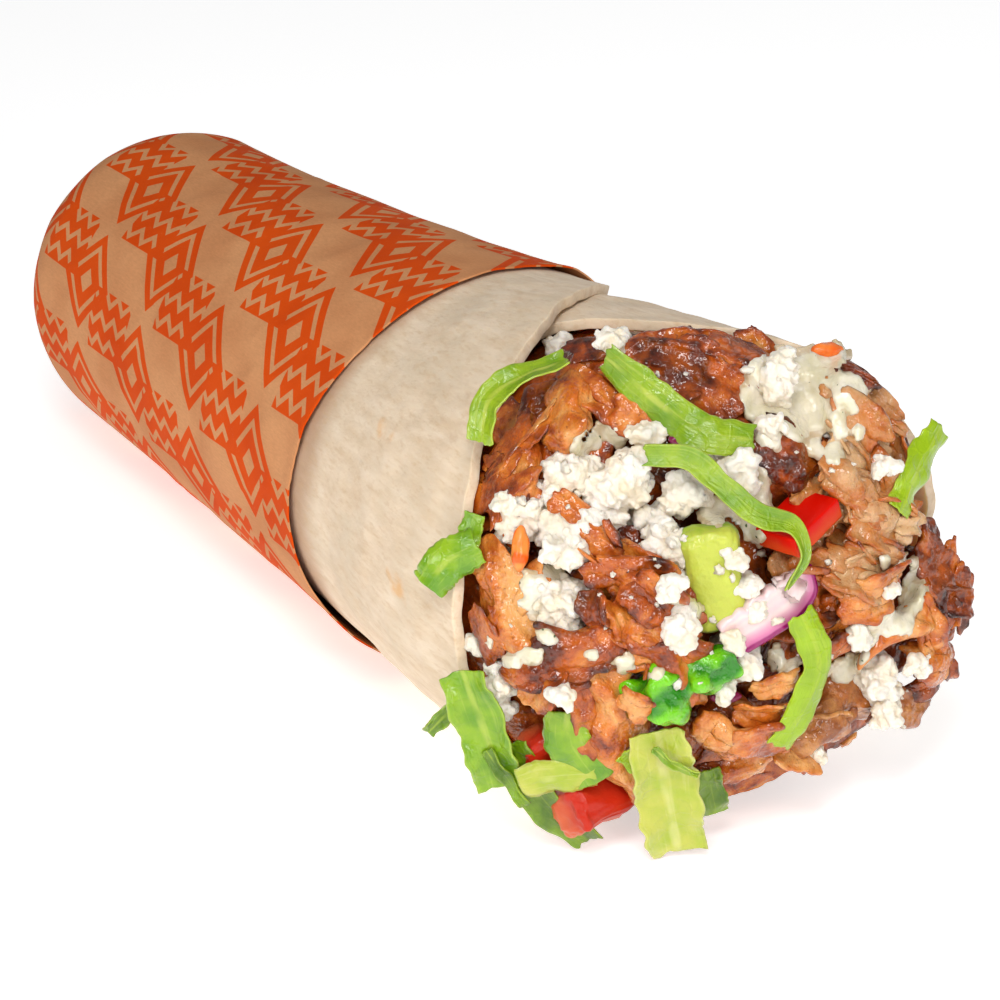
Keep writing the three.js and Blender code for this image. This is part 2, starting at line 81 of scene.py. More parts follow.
SLEEVE_LENGTH = 144
SLEEVE_WAVE = 4
SLEEVE_WAVE_ANGLE = 95
SLEEVE_RAMP = 27  # degrees over which the paper climbs the bread's flap
SLEEVE_GAP = 0.8  # from the paper's outside to the bread
OUT_OF_SLEEVE = 150

BREAD_WRAP = 450  # degrees that the bread goes round
BREAD_START = 10
BREAD_TUCK = 5.5  # it narrows in the sleeve's rounded back
NEAR_RIM = 203
FAR_RIM = 217
FLAP_PULL = 45  # how far the flap's corner lies behind the near rim
FLAP_PULL_WRAP = 110  # degrees over which it comes forward again
INNER_PULL = 40
LOW_RIM_DIP = 13
LOW_RIM_TURN = 235

FLOOR_CLEARANCE = 0.1
MOUTH_HEIGHT = MOUTH_RADIUS - SETTLE
MOUND_RADIUS = 40
MOUND_HEIGHT = 13
MOUND_RIM = 1
MOUND_LEAN = 5  # it leans out low on the far side
MOUND_LEAN_ANGLE = 135
MOUTH_SKEW = 0.17  # the mouth reaches further on the far side
MOUTH_RAKE = 0.1  # and at the bottom
BREAD_REACH = 38  # the middle of the bread's thickness round the mouth
HEAP_RADIUS = 34.5  # meat that reaches further out is drawn in


def direction(azimuth, elevation):
    a, e = math.radians(azimuth), math.radians(elevation)
    return Vector((math.sin(a) * math.cos(e), -math.cos(a) * math.cos(e), math.sin(e)))


# Where the wrap is looked at from, in the roll's millimetres, and the point that the lights face.
LOOKED_AT = Vector((148.43, 0, 31))
SEEN_ALONG = direction(59.46, 24.11)
VIEWPOINT = LOOKED_AT + SEEN_ALONG * 600
SIGHT_REACH = 800  # how far a line of sight is followed
LENS, SENSOR = 124.4, 36
LIT = Vector((188, 0, 40))


def smooth(value, start, end):
    t = clamp((value - start) / (end - start))
    return t * t * (3 - 2 * t)


def clamp(value):
    return min(1.0, max(0.0, value))


def mix(a, b, share):
    return a + (b - a) * share


def roll_radius(x):
    along = max(x, BACK_ROUNDING) / ROLL_LENGTH
    return BACK_RADIUS + (MOUTH_RADIUS - BACK_RADIUS) * along**FLARE


def layer_step(turn):
    return LAYER * (0.5 - turn / 360)


def on_roll(x, turn, step, inset, floor):
    """The point at x along the roll, turn degrees on from the bread's outer edge."""
    angle = math.radians(FLAP_ANGLE + turn)
    radius = roll_radius(x) + step - inset
    height = roll_radius(x) - SETTLE + radius * math.sin(angle)
    return Vector((x, radius * math.cos(angle), max(floor, height)))


def sleeve_edge(turn):
    wave = math.cos(2 * math.radians(FLAP_ANGLE + turn - SLEEVE_WAVE_ANGLE))
    return SLEEVE_LENGTH + SLEEVE_WAVE * wave


def sleeve_step(turn):
    climb = max(0.0, turn % 360 - (360 - SLEEVE_RAMP)) / SLEEVE_RAMP
    return mix(layer_step(turn % 360), layer_step(0), climb)


def bread_rim(turn):
    if turn < FLAP_PULL_WRAP:
        return NEAR_RIM - FLAP_PULL * (1 - turn / FLAP_PULL_WRAP) ** 1.5
    dip = LOW_RIM_DIP * math.exp(-(((turn - LOW_RIM_TURN) / 45) ** 2))
    rim = mix(NEAR_RIM, FAR_RIM, smooth(turn, FLAP_PULL_WRAP, 300))
    return rim - dip - INNER_PULL * smooth(turn, 345, 400)


def bread_inset(x):
    in_sleeve = 1 - smooth(x, OUT_OF_SLEEVE, OUT_OF_SLEEVE + 24)
    at_back = 1 - smooth(x, BREAD_START, BACK_ROUNDING)
    return SLEEVE_GAP * in_sleeve + BREAD_TUCK * at_back


def mound(y, up):
    """How far along the roll the heaped filling reaches."""
    out = math.hypot(y, up) / MOUND_RADIUS
    lean = math.cos(math.atan2(up, y) - math.radians(MOUND_LEAN_ANGLE))
    rim = MOUND_RIM - MOUND_LEAN * lean * min(1, out)
    height = rim + (MOUND_HEIGHT - rim) * (1 - min(1.2, out) ** 2)
    return ROLL_LENGTH + MOUTH_SKEW * y - MOUTH_RAKE * up + height


def mound_out(y, up):
    slope_y = (mound(y + 2, up) - mound(y - 2, up)) / 4
    slope_z = (mound(y, up + 2) - mound(y, up - 2)) / 4
    return Vector((1, -slope_y, -slope_z)).normalized()


def on_mound(place, lift):
    y, up = place
    return Vector((mound(y, up) + lift, y, MOUTH_HEIGHT + up))


class Line:
    """A smooth line over the mound through a piece's places, read by its share of the length."""

    STEPS = 24

    def __init__(self, at, lift, roll=0, arch=0):
        places = [on_mound(place, lift) for place in at]
        ends = [2 * places[0] - places[1], *places, 2 * places[-1] - places[-2]]
        points = []
        for a, b, c, d in zip(ends, ends[1:], ends[2:], ends[3:]):
            for k in range(self.STEPS):
                t = k / self.STEPS
                points.append(
                    0.5
                    * (
                        2 * b
                        + (c - a) * t
                        + (2 * a - 5 * b + 4 * c - d) * t**2
                        + (3 * b - a - 3 * c + d) * t**3
                    )
                )
        points.append(places[-1])
        reach = [0.0]
        for a, b in zip(points, points[1:]):
            reach.append(reach[-1] + (b - a).length)
        self.points, self.reach, self.length = points, reach, reach[-1]
        self.roll = roll if isinstance(roll, tuple) else (roll, roll)
        self.arch = arch

    def at(self, along):
        """The point, the direction to the side and the direction up, also past the ends."""
        inside = clamp(along)
        goal = inside * self.length
        i = min(len(self.reach) - 1, bisect.bisect_left(self.reach, goal - 1e-9, 1))
        a, b = self.points[i - 1], self.points[i]
        span = max(1e-9, self.reach[i] - self.reach[i - 1])
        point = a.lerp(b, (goal - self.reach[i - 1]) / span)
        forward = (b - a).normalized()
        out = mound_out(point.y, point.z - MOUTH_HEIGHT)
        side = out.cross(forward).normalized()
        side.rotate(Matrix.Rotation(math.radians(mix(*self.roll, inside)), 3, forward))
        up = forward.cross(side)
        point += forward * (along - inside) * self.length
        point += out * self.arch * math.sin(math.pi * inside)
        return point, side, up


# ---- colours and node materials ----


def srgb(*channels):
    """A colour as a screen shows it, from 0 to 255, as the linear one that Blender works in."""
    return tuple(
        c / 255 / 12.92 if c <= 10 else ((c / 255 + 0.055) / 1.055) ** 2.4
        for c in channels
    )


def opaque(colour):
    return (*tuple(colour)[:3], 1)


class Finish:
    """A material under construction. Each method adds nodes and returns the socket to go on from."""

    def __init__(self, name, **sockets):
        self.material = bpy.data.materials.new(name)
        self.material.use_nodes = True
        self.tree = self.material.node_tree
        self.shader = self.tree.nodes["Principled BSDF"]
        for key, value in sockets.items():
            self.feed(self.shader.inputs[key.replace("_", " ")], value)

    def feed(self, socket, value):
        if isinstance(value, bpy.types.NodeSocket):
            self.tree.links.new(value, socket)
        else:
            socket.default_value = value

    def node(self, kind, inputs, **settings):
        made = self.tree.nodes.new("ShaderNode" + kind)
        for key, value in settings.items():
            setattr(made, key, value)
        for key, value in inputs.items():
            self.feed(made.inputs[key], value)
        return made

    def millimetres(self, stretch=(1, 1, 1)):
        coords = self.node("TexCoord", {}).outputs["Object"]
        scale = [s / MM for s in stretch]
        return self.node("Mapping", {"Vector": coords, "Scale": scale}).outputs[0]

    def uv(self):
        return self.node("TexCoord", {}).outputs["UV"]

    def attribute(self, name):
        return self.node("Attribute", {}, attribute_name=name).outputs["Fac"]

    def places(self, name):
        return self.node("Attribute", {}, attribute_name=name).outputs["Vector"]

    def noise(self, size, where=None, detail=3.0, rough=0.5, twist=0.0):
        """Soft noise whose features are about size across, in the units of where."""
        values = {
            "Vector": where or self.millimetres(),
            "Scale": 1 / size,
            "Detail": detail,
            "Roughness": rough,
            "Distortion": twist,
        }
        return self.node("TexNoise", values).outputs["Fac"]

    def cells(self, size, where=None, feature="F1"):
        values = {"Vector": where or self.millimetres(), "Scale": 1 / size}
        return self.node("TexVoronoi", values, feature=feature).outputs["Distance"]

    def sums(self, kind, a, b=0.0, c=0.0, clamp=False):
        made = self.node("Math", {0: a, 1: b}, operation=kind, use_clamp=clamp)
        if kind == "MULTIPLY_ADD":
            self.feed(made.inputs[2], c)
        return made.outputs[0]

    def between(self, value, low, high):
        """0 below low, 1 above high, soft between. It falls where low is above high."""
        values = {"Value": value, "From Min": low, "From Max": high}
        made = self.node("MapRange", values, interpolation_type="SMOOTHSTEP", clamp=True)
        return made.outputs[0]

    def ramp(self, value, *stops):
        made = self.node("ValToRGB", {"Fac": value})
        elements = made.color_ramp.elements
        while len(elements) < len(stops):
            elements.new(0.5)
        for element, (position, colour) in zip(elements, stops):
            element.position = position
            element.color = opaque(colour)
        return made.outputs[0]

    def blend(self, share, a, b, how="MIX"):
        made = self.node("Mix", {0: share}, data_type="RGBA", blend_type=how)
        for index, value in ((6, a), (7, b)):
            is_socket = isinstance(value, bpy.types.NodeSocket)
            self.feed(made.inputs[index], value if is_socket else opaque(value))
        return made.outputs[2]

    def layer(self, base, share, amount, colour):
        """The base with a colour over it, where share says and by amount at most."""
        return self.blend(self.sums("MULTIPLY", share, amount), base, colour)

    def colour(self, socket):
        self.feed(self.shader.inputs["Base Color"], socket)

    def relief(self, height, depth, strength=1.0, over=None, sockets=("Normal", "Coat Normal")):
        """Bump whose full height is depth in millimetres."""
        values = {"Height": height, "Distance": depth * MM, "Strength": strength}
        if over:
            values["Normal"] = over
        normal = self.node("Bump", values).outputs[0]
        for socket in sockets:
            self.feed(self.shader.inputs[socket], normal)
        return normal


# ---- meshes ----

MADE = []  # the pieces so far


def new_mesh(uv=False):
    bm = bmesh.new()
    for name in ("crisp", "tone"):
        bm.verts.layers.float.new(name)
    bm.verts.layers.float_vector.new("fibre")
    if uv:
        bm.loops.layers.uv.new("UVMap")
    return bm


def spread(bm, where):
    """Gives each point its place on the UV map."""
    uv = bm.loops.layers.uv.active
    for face in bm.faces:
        for loop in face.loops:
            loop[uv].uv = where[loop.vert]


def marks(bm):
    """The layers that tell how crisp and how dark each point is."""
    return (bm.verts.layers.float[name] for name in ("crisp", "tone"))


def absorb(target, source):
    """Adds one mesh to another and frees it."""
    passing = bpy.data.meshes.new("passing")
    source.to_mesh(passing)
    source.free()
    target.from_mesh(passing)
    bpy.data.meshes.remove(passing)


def face_outwards(bm):
    """Turns a sheet round the roll so that its faces look away from the roll's axis."""
    bmesh.ops.recalc_face_normals(bm, faces=bm.faces[:])
    facing = 0.0
    for face in bm.faces:
        x, y, z = face.calc_center_median()
        facing += face.normal.y * y + face.normal.z * (z - roll_radius(x) + SETTLE)
    if facing < 0:
        bmesh.ops.reverse_faces(bm, faces=bm.faces[:])


def soften(bm, rounds, factor=0.5):
    for _ in range(rounds):
        bmesh.ops.smooth_vert(
            bm, verts=bm.verts[:], factor=factor, use_axis_x=True, use_axis_y=True, use_axis_z=True
        )


def thicken(bm, thickness, rounds=2, shares=None):
    """Gives an open sheet its thickness, or the share of it that a point has, and rounds its edges."""
    bmesh.ops.recalc_face_normals(bm, faces=bm.faces[:])
    bm.normal_update()
    way = bm.verts.layers.float_vector.new("way")
    for k, v in enumerate(bm.verts):
        v[way] = v.normal * (shares[k] if shares else 1)
    made = bmesh.ops.extrude_face_region(bm, geom=bm.faces[:], use_keep_orig=True)
    for part in made["geom"]:
        if isinstance(part, bmesh.types.BMVert):
            part.co -= part[way] * thickness
    bm.verts.layers.float_vector.remove(way)
    bmesh.ops.recalc_face_normals(bm, faces=bm.faces[:])
    soften(bm, rounds, 0.4)


def fused(bm, voxel, rounds):
    """The outer skin of everything in the mesh as one surface, smoothed."""
    passing = bpy.data.meshes.new("passing")
    bm.to_mesh(passing)
    bm.free()
    shape = bpy.data.objects.new("passing", passing)
    bpy.context.scene.collection.objects.link(shape)
    remesh = shape.modifiers.new("skin", "REMESH")
    remesh.mode = "VOXEL"
    remesh.voxel_size = voxel
    depsgraph = bpy.context.evaluated_depsgraph_get()
    skin = bpy.data.meshes.new_from_object(shape.evaluated_get(depsgraph))
    made = new_mesh()
    made.from_mesh(skin)
    bpy.data.objects.remove(shape)
    bpy.data.meshes.remove(passing)
    bpy.data.meshes.remove(skin)
    soften(made, rounds)
    return made


def finished(name, bm, materials, nodes=()):
    """The piece as an object at the origin that rides on the root body and stands for its nodes."""
    for v in bm.verts:
        v.co.z = max(v.co.z, FLOOR_CLEARANCE)
    bm.transform(TO_ROW)
    mesh = bpy.data.meshes.new(name)
    bm.to_mesh(mesh)
    bm.free()
    for material in materials:
        mesh.materials.append(material)
    mesh.shade_smooth()
    piece = bpy.data.objects.new(name, mesh)
    bpy.context.scene.collection.objects.link(piece)
    MADE.append(piece.name)
    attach(piece, "root")
    if nodes:
        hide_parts(*nodes)
    return piece


def add_wall(piece, thickness, bevel):
    """Live thickness to the inside, with its rim rounded."""
    wall = piece.modifiers.new("wall", "SOLIDIFY")
    wall.thickness = thickness * MM
    wall.offset = -1
    wall.material_offset = 1 if len(piece.data.materials) > 1 else 0
    edge = piece.modifiers.new("edge", "BEVEL")
    edge.limit_method = "ANGLE"
    edge.angle_limit = math.radians(55)
    edge.width = bevel * MM
    edge.segments = 2
    edge.use_clamp_overlap = True


def combed(bm, way, share=0.78):
    """Keeps each place with its length along the fibres squeezed, so that a pattern on it is drawn out."""
    fibre = bm.verts.layers.float_vector["fibre"]
    for v in bm.verts:
        v[fibre] = v.co - way * v.co.dot(way) * share
    return bm


def seeded(place, seed, size):
    return noise.noise(Vector(place) / size + Vector((seed * 7.3, seed * 3.1, -seed * 5.7)))


# ---- the paper sleeve ----


def sleeve_mesh():
    """One sheet once round and a little over itself, gathered into pleats at the back."""
    AROUND, ALONG = 300, 150
    START, WRAP = 232.0, 386.0
    # By its share of the sheet's length: the back's flat middle, then its rounding, then the side.
    FLAT, ROUNDED = 0.08, 0.3
    MIDDLE, PLEATS, MEAN_RADIUS = 6.9, 11, 34
    bm = new_mesh(uv=True)
    bmesh.ops.create_grid(bm, x_segments=ALONG, y_segments=AROUND, size=1, calc_uvs=True)
    where = {}
    for v in bm.verts:
        s, w = (v.co.x + 1) / 2, (v.co.y + 1) / 2
        turn = START + WRAP * w
        step = sleeve_step(turn)
        over = 0.5 * smooth(w, 0.92, 0.955)
        under = 0.25 * (1 - smooth(w, 0.0, 0.02))
        pleat = abs((turn * PLEATS / 360 + 2.2 * s) % 1 - 0.5) * 2
        if s < FLAT:
            shrink, x = BACK_ROUNDING + 6.7 * (1 - s / FLAT), 0.0
            arc = MIDDLE * s / FLAT
        elif s < ROUNDED:
            bend = math.pi / 2 * (s - FLAT) / (ROUNDED - FLAT)
            shrink = BACK_ROUNDING * (1 - math.sin(bend))
            x = BACK_ROUNDING * (1 - math.cos(bend))
            arc = MIDDLE + BACK_ROUNDING * bend
        else:
            shrink = 0.0
            x = mix(BACK_ROUNDING, sleeve_edge(turn), (s - ROUNDED) / (1 - ROUNDED))
            x += (s > 0.999) * 0.25 * seeded((turn / 3, 0, 0), 3, 1)
            arc = MIDDLE + BACK_ROUNDING * math.pi / 2 + x - BACK_ROUNDING
        base = on_roll(max(x, BACK_ROUNDING), turn, step, shrink - over + under, 0.0)
        base.x = x
        # gathered folds at the back, soft dents along the side
        gather = smooth(s, 0.0, 0.05) * (1 - smooth(s, 0.13, 0.27))
        base.x += 2.4 * gather * (0.55 - pleat) * (s < 0.27)
        base.x = max(base.x, 0.0)
        angle = math.radians(FLAP_ANGLE + turn)
        outward = Vector((0, math.cos(angle), math.sin(angle)))
        along_girth = MEAN_RADIUS * angle
        dent = seeded((x / 1.6, along_girth, 0), 11, 16)
        crease = abs(seeded((x / 1.2 + 0.4 * MEAN_RADIUS * angle, along_girth, 0), 5, 12))
        side = smooth(s, 0.2, 0.35)
        lift = side * (0.28 * (dent + 0.4) + 0.5 * (0.35 - crease) * (dent > -0.3))
        lift += 0.5 * smooth(s, 0.97, 1.0) * (0.6 + seeded((turn / 20, 0, 1), 4, 1))
        base += outward * max(0.0, lift)
        base.z = max(0.0, base.z)
        where[v] = (arc / 100, MEAN_RADIUS * math.radians(turn) / 100)
        v.co = base
    spread(bm, where)
    bmesh.ops.remove_doubles(bm, verts=bm.verts[:], dist=0.002)
    face_outwards(bm)
    return bm


def kraft_finish(name, colours, printed):
    """Brown wrapping paper with fine fibres, and a pattern of diamonds and chevrons on its outside."""
    paper = Finish(name, Roughness=0.7, Specular_IOR_Level=0.05)
    fibres = paper.noise(0.35, paper.millimetres((0.25, 1, 1)), detail=6, rough=0.7)
    cloud = paper.noise(14, detail=2)
    ground = paper.blend(paper.between(cloud, 0.3, 0.7), colours.paper, colours.paper_dark)
    grey = paper.ramp(fibres, (0.3, (0.5,) * 3), (0.7, (1,) * 3))
    ground = paper.blend(0.35, ground, grey, "MULTIPLY")
    if printed:
        WIDE, HIGH = 0.27, 0.235  # the pattern's repeat in the paper's own units of 100 mm
        split = paper.node("SeparateXYZ", {"Vector": paper.uv()})
        wave = paper.noise(0.02, paper.uv(), detail=2)
        u = paper.sums("MULTIPLY_ADD", wave, 0.0012, split.outputs[0])
        v = split.outputs[1]

        def lattice(shift_u, shift_v):
            """Millimetres from the middle of the nearest repeat, every other column half a step on."""
            column = paper.sums("MULTIPLY_ADD", u, 1 / WIDE, shift_u)
            odd = paper.sums("MODULO", paper.sums("FLOOR", column), 2)
            row = paper.sums("MULTIPLY_ADD", v, 1 / HIGH, shift_v)
            row = paper.sums("MULTIPLY_ADD", odd, 0.5, row)
            a = paper.sums("SUBTRACT", paper.sums("FRACT", column), 0.5)
            b = paper.sums("SUBTRACT", paper.sums("FRACT", row), 0.5)
            return paper.sums("MULTIPLY", a, WIDE * 100), paper.sums("MULTIPLY", b, HIGH * 100)

        def inside(value, limit):
            return paper.between(value, limit + 0.06, limit - 0.06)

        a, b = lattice(0.2, 0.1)
        far = paper.sums("ADD", paper.sums("ABSOLUTE", a), paper.sums("ABSOLUTE", b))
        diamond = inside(far, 10.4)
        ring = paper.sums("MULTIPLY", inside(far, 7.9), paper.between(far, 6.24, 6.36))
        heart = inside(far, 2.6)
        diamond = paper.sums("SUBTRACT", diamond, ring, clamp=True)
        diamond = paper.sums("SUBTRACT", diamond, heart, clamp=True)
        a, b = lattice(0.7, 0.35)
        saw = paper.sums("PINGPONG", paper.sums("ADD", a, 40), 2.8)
        slope = paper.sums("MULTIPLY_ADD", saw, 0.9, paper.sums("ADD", b, 6.2))
        bars = inside(paper.sums("PINGPONG", slope, 2.3), 1.5)
        bars = paper.sums("MULTIPLY", bars, inside(paper.sums("ABSOLUTE", a), 8.4))
        bars = paper.sums("MULTIPLY", bars, inside(paper.sums("ABSOLUTE", b), 6.4))
        ink = paper.sums("MAXIMUM", diamond, bars)
        worn = paper.between(paper.noise(0.5, detail=4), 0.24, 0.4)
        ink = paper.sums("MULTIPLY", ink, paper.sums("MULTIPLY_ADD", worn, 0.12, 0.86))
        tint = paper.blend(paper.between(cloud, 0.25, 0.75), colours.ink, colours.ink_dark)
        ground = paper.blend(ink, ground, tint)
    paper.colour(ground)
    crumple = paper.cells(9, paper.millimetres((0.8, 1, 1)))
    soft = paper.relief(crumple, 0.5, 0.35)
    paper.relief(fibres, 0.05, 0.5, over=soft)
    return paper.material


# ---- the flatbread ----


def bread_mesh():
    """One sheet rolled once and a quarter, fine where it shows and coarse in the sleeve."""
    AROUND, SHOWN = 320, 96
    hidden = [BREAD_START, 17, BACK_ROUNDING, 62, 106, 132]
    last = len(hidden) - 1
    rows = last + SHOWN
    bm = new_mesh(uv=True)
    bmesh.ops.create_grid(bm, x_segments=rows, y_segments=AROUND, size=1, calc_uvs=True)
    crisp = bm.verts.layers.float["crisp"]
    where = {}
    for v in bm.verts:
        i = round((v.co.x + 1) / 2 * rows)
        turn = BREAD_WRAP * (v.co.y + 1) / 2
        drawn_back = 6 * math.exp(-(((turn - 338) / 16) ** 2))
        rim = bread_rim(turn) - drawn_back + 1.3 * seeded((turn / 13, 0, 0), 2, 1)
        rim += 0.5 * seeded((turn / 4, 0, 0), 6, 1)
        x = hidden[i] if i <= last else mix(hidden[-1], rim, (i - last) / SHOWN)
        arc = BREAD_REACH * math.radians(turn)
        free = smooth(x, 138, 165)
        bubbles = seeded((x, arc * 1.2, 0), 8, 9) + 0.5 * seeded((x, arc, 0), 9, 4)
        folds = seeded((x / 2.5, arc, 0), 12, 22)
        relief = free * (0.34 * bubbles + 0.75 * folds)
        tight = 0.35 * (1 - smooth(x, 128, 146))
        inset = bread_inset(x) + tight - relief
        thin = smooth(x, rim - 5, rim)
        point = on_roll(x, turn, layer_step(turn), inset, min(bread_inset(x), SLEEVE_GAP))
        angle = math.radians(FLAP_ANGLE + turn)
        # the near rim leans in over the filling a little, and the flap's edge lies down
        lean = 1.4 * smooth(x, rim - 16, rim) * smooth(turn, 60, 120) * (1 - smooth(turn, 230, 290))
        point -= Vector((0, math.cos(angle), math.sin(angle))) * lean
        point.z = max(point.z, 0.05)
        v[crisp] = thin
        v.co = point
        where[v] = (x / 100, arc / 100)
    spread(bm, where)
    face_outwards(bm)
    return bm


def bread_finish(name, colours, greasy=0.0):
    """Floury soft bread: cream, mottled along the roll, with faint toasted spots and a painted shade, dark
    brown, along the paper's edge.
    """
    bread = Finish(
        name, Roughness=0.72, Subsurface_Weight=0.12 + greasy,
        Subsurface_Scale=0.002 + 0.004 * greasy, Subsurface_Radius=(1.0, 0.6, 0.35),
        Specular_IOR_Level=0.2, Sheen_Weight=0.1,
    )
    streaks = bread.noise(2.2, bread.millimetres((0.22, 1, 1)), detail=5, rough=0.6)
    cloud = bread.noise(13, detail=3)
    base = bread.blend(bread.between(streaks, 0.2, 0.8), colours.bread_shade, colours.bread)
    base = bread.layer(base, bread.between(cloud, 0.42, 0.7), 0.45, srgb(205, 186, 158))
    spots = bread.cells(17, bread.millimetres((0.45, 1, 1)))
    ragged = bread.sums("MULTIPLY_ADD", bread.noise(3, detail=4), 0.24, spots)
    toasted = bread.between(ragged, 0.29, 0.17)
    base = bread.layer(base, toasted, 0.75, colours.toasted)
    # Painted shade: the bread is dark brown under the paper and for a few millimetres past its edge, fading
    # out, as if the paper shaded it.
    split = bread.node("SeparateXYZ", {"Vector": bread.uv()})
    around = bread.noise(0.3, bread.uv(), detail=2)
    reach = bread.sums("MULTIPLY_ADD", around, 0.09, split.outputs[0])
    paper_shade = bread.between(reach, 1.555, 1.475)
    base = bread.layer(base, paper_shade, 0.55, colours.bread_paper_shade)
    dust = bread.noise(0.9, bread.millimetres((0.3, 1, 1)), detail=4, rough=0.6)
    base = bread.layer(base, bread.between(dust, 0.5, 0.68), 0.3, srgb(196, 160, 116))
    bread.colour(bread.blend(greasy, base, srgb(236, 204, 136)) if greasy else base)
    grain = bread.noise(0.5, detail=5, rough=0.65)
    blisters = bread.noise(3.2, bread.millimetres((0.5, 1, 1)), detail=3)
    soft = bread.relief(blisters, 0.9, 0.5)
    bread.relief(grain, 0.12, 0.6, over=soft)
    return bread.material


# ---- pieces of the filling ----


def lump_mesh(
    at, wide, thick, lift, seed=0, blunt=0.6, rough=0.16, fine=5, grain=1.0, tone=0.5, roll=0,
    arch=0, **_,
):
    """A rounded lump along its line, its grain running lengthwise."""
    line = Line(at, lift, roll, arch)
    bm = new_mesh()
    bmesh.ops.create_icosphere(bm, subdivisions=fine, radius=1)
    crisp, shade = marks(bm)
    size = (wide + thick) / 2
    for v in bm.verts:
        s, a, b = v.co
        along = 0.5 + 0.5 * s
        girth = max(0.0, 1 - s * s) ** 0.36
        flat = math.hypot(a, b) or 1.0
        a, b = a / flat * girth, b / flat * girth
        point, side, up = line.at(along)
        full = blunt + (1 - blunt) * math.sin(math.pi * along) ** 0.7
        across = side * (a * wide * full / 2) + up * (b * thick * (0.4 + 0.6 * full) / 2)
        place = point - up * thick / 2 + across
        outward = across.normalized() if across.length > 1e-6 else up
        swell = seeded(place, seed, size * 0.55)
        dimple = seeded(place, seed + 5, 2.2)
        v.co = place + outward * (size * rough * 1.5 * swell + grain * 0.35 * dimple)
        v[crisp] = clamp(0.5 + 0.9 * swell)
        v[shade] = tone
    return bm


def flake_mesh(
    at, wide, lift, seed=0, thick=1.6, curl=0.22, crumple=1.1, grid=(22, 12), tone=0.5, roll=0,
    arch=0,
):
    """A thin shaving: a crumpled, curling sheet, fibres along it and thin at its ragged outline."""
    line = Line(at, lift, roll, arch)
    bm = new_mesh()
    bmesh.ops.create_grid(bm, x_segments=grid[0], y_segments=grid[1], size=1)
    crisp, shade = marks(bm)
    bent = curl * wide * (1 if seeded((1, 2, 3), seed, 1) > -0.1 else -0.6)
    way = (line.points[-1] - line.points[0]).normalized()
    shares = []
    for v in bm.verts:
        u, w = v.co.x, v.co.y
        far, turn = max(abs(u), abs(w)), math.atan2(w, u)
        ring = (math.cos(turn), math.sin(turn), 0)
        rag = 1 + far**3 * (0.4 * seeded(ring, seed, 0.75) + 0.16 * seeded(ring, seed + 1, 0.26))
        keep = rag * (far / (math.hypot(u, w) or 1)) ** 0.45
        u, w = u * keep, w * keep
        point, side, up = line.at(0.5 + 0.5 * u)
        place = point + side * w * wide / 2
        rise = bent * w * w + crumple * seeded(place, seed, 4.6)
        rise += 0.4 * crumple * seeded(place, seed + 3, 1.7)
        rise += 0.4 * seeded(place - way * place.dot(way) * 0.86, seed + 9, 1.0)
        v.co = place + up * rise
        v[crisp] = clamp(0.35 + far**4 * (0.35 + 1.2 * seeded(place, seed + 5, 4)))
        v[shade] = tone + 0.5 * seeded(place, seed + 7, 5)
        shares.append(1 - 0.5 * smooth(far, 0.5, 1))
    combed(bm, way)
    thicken(bm, thick, 1, shares)
    return bm


def grained(bm, way, seed, depth=1.0, tone=0.5):
    """Gives a fused lump the folds and fibres of torn meat and marks its ridges."""
    bm.normal_update()
    crisp, shade = marks(bm)
    places, normals = [v.co.copy() for v in bm.verts], [v.normal.copy() for v in bm.verts]
    soften(bm, 9)
    ridges = [(place - v.co).dot(normal) for v, place, normal in zip(bm.verts, places, normals)]
    for v, place in zip(bm.verts, places):
        v.co = place
    moves = []
    for v, ridge in zip(bm.verts, ridges):
        p = v.co - way * v.co.dot(way) * 0.62
        fold = 1 - abs(seeded(p, seed, 3.2)) * 2.4
        fibre = 1 - abs(seeded(p, seed + 2, 1.1)) * 2.4
        pit = seeded(v.co, seed + 4, 1.5)
        swell = seeded(p, seed + 9, 2.4)
        moves.append(v.normal * depth * (0.2 * fold + 0.6 * swell + 0.1 * fibre + 0.3 * pit - 0.3))
        patch = seeded(v.co, seed + 6, 6)
        v[crisp] = clamp(0.32 + 0.8 * patch + 0.16 * fold + 1.5 * ridge)
        v[shade] = tone + 0.4 * seeded(v.co, seed + 8, 8)
    combed(bm, way)
    for v, move in zip(bm.verts, moves):
        v.co += move
    return bm


def kept_in(bm):
    """Keeps meat within the bread. It stands over the drawn back top and leans out at the far side."""
    for v in bm.verts:
        y, up = v.co.y, v.co.z - MOUTH_HEIGHT
        far, angle = math.hypot(y, up), math.degrees(math.atan2(up, y))
        soft = HEAP_RADIUS + 6.0 * smooth(angle, -78, -45) * (1 - smooth(angle, 0, 30))
        soft += 4.0 * smooth(angle, 25, 45) * (1 - smooth(angle, 105, 140))
        if far > soft:
            pulled = (soft + 4 * math.tanh((far - soft) / 5)) / far
            v.co.y, v.co.z = y * pulled, MOUTH_HEIGHT + up * pulled
    return bm


def pressed_back(bm, gap, low_gap):
    """Presses what stands out back under the mound by a gap, which grows towards the lower rim."""
    for v in bm.verts:
        up = v.co.z - MOUTH_HEIGHT
        over = v.co.x - mound(v.co.y, up) + gap + low_gap * smooth(-up, 14, 32)
        v.co.x -= 0.75 * max(0.0, over)
    return bm


def straight(y, up, way, half):
    """Three places in line, the outer ones half a length from the middle."""
    step = (half * math.cos(way), half * math.sin(way))
    return [(y - step[0], up - step[1]), (y, up), (y + step[0], up + step[1])]


def beside(rng, row, reach, half):
    """The places of a short shaving somewhere over a longer piece, about in line with it."""
    places = row["at"]
    k = rng.randrange(len(places) - 1)
    (ya, za), (yb, zb) = places[k], places[k + 1]
    share = rng.uniform(0.05, 0.95)
    y = mix(ya, yb, share) + rng.uniform(-reach, reach)
    up = mix(za, zb, share) + rng.uniform(-reach, reach)
    return straight(y, up, math.atan2(zb - za, yb - ya) + rng.gauss(0, 0.5), half)


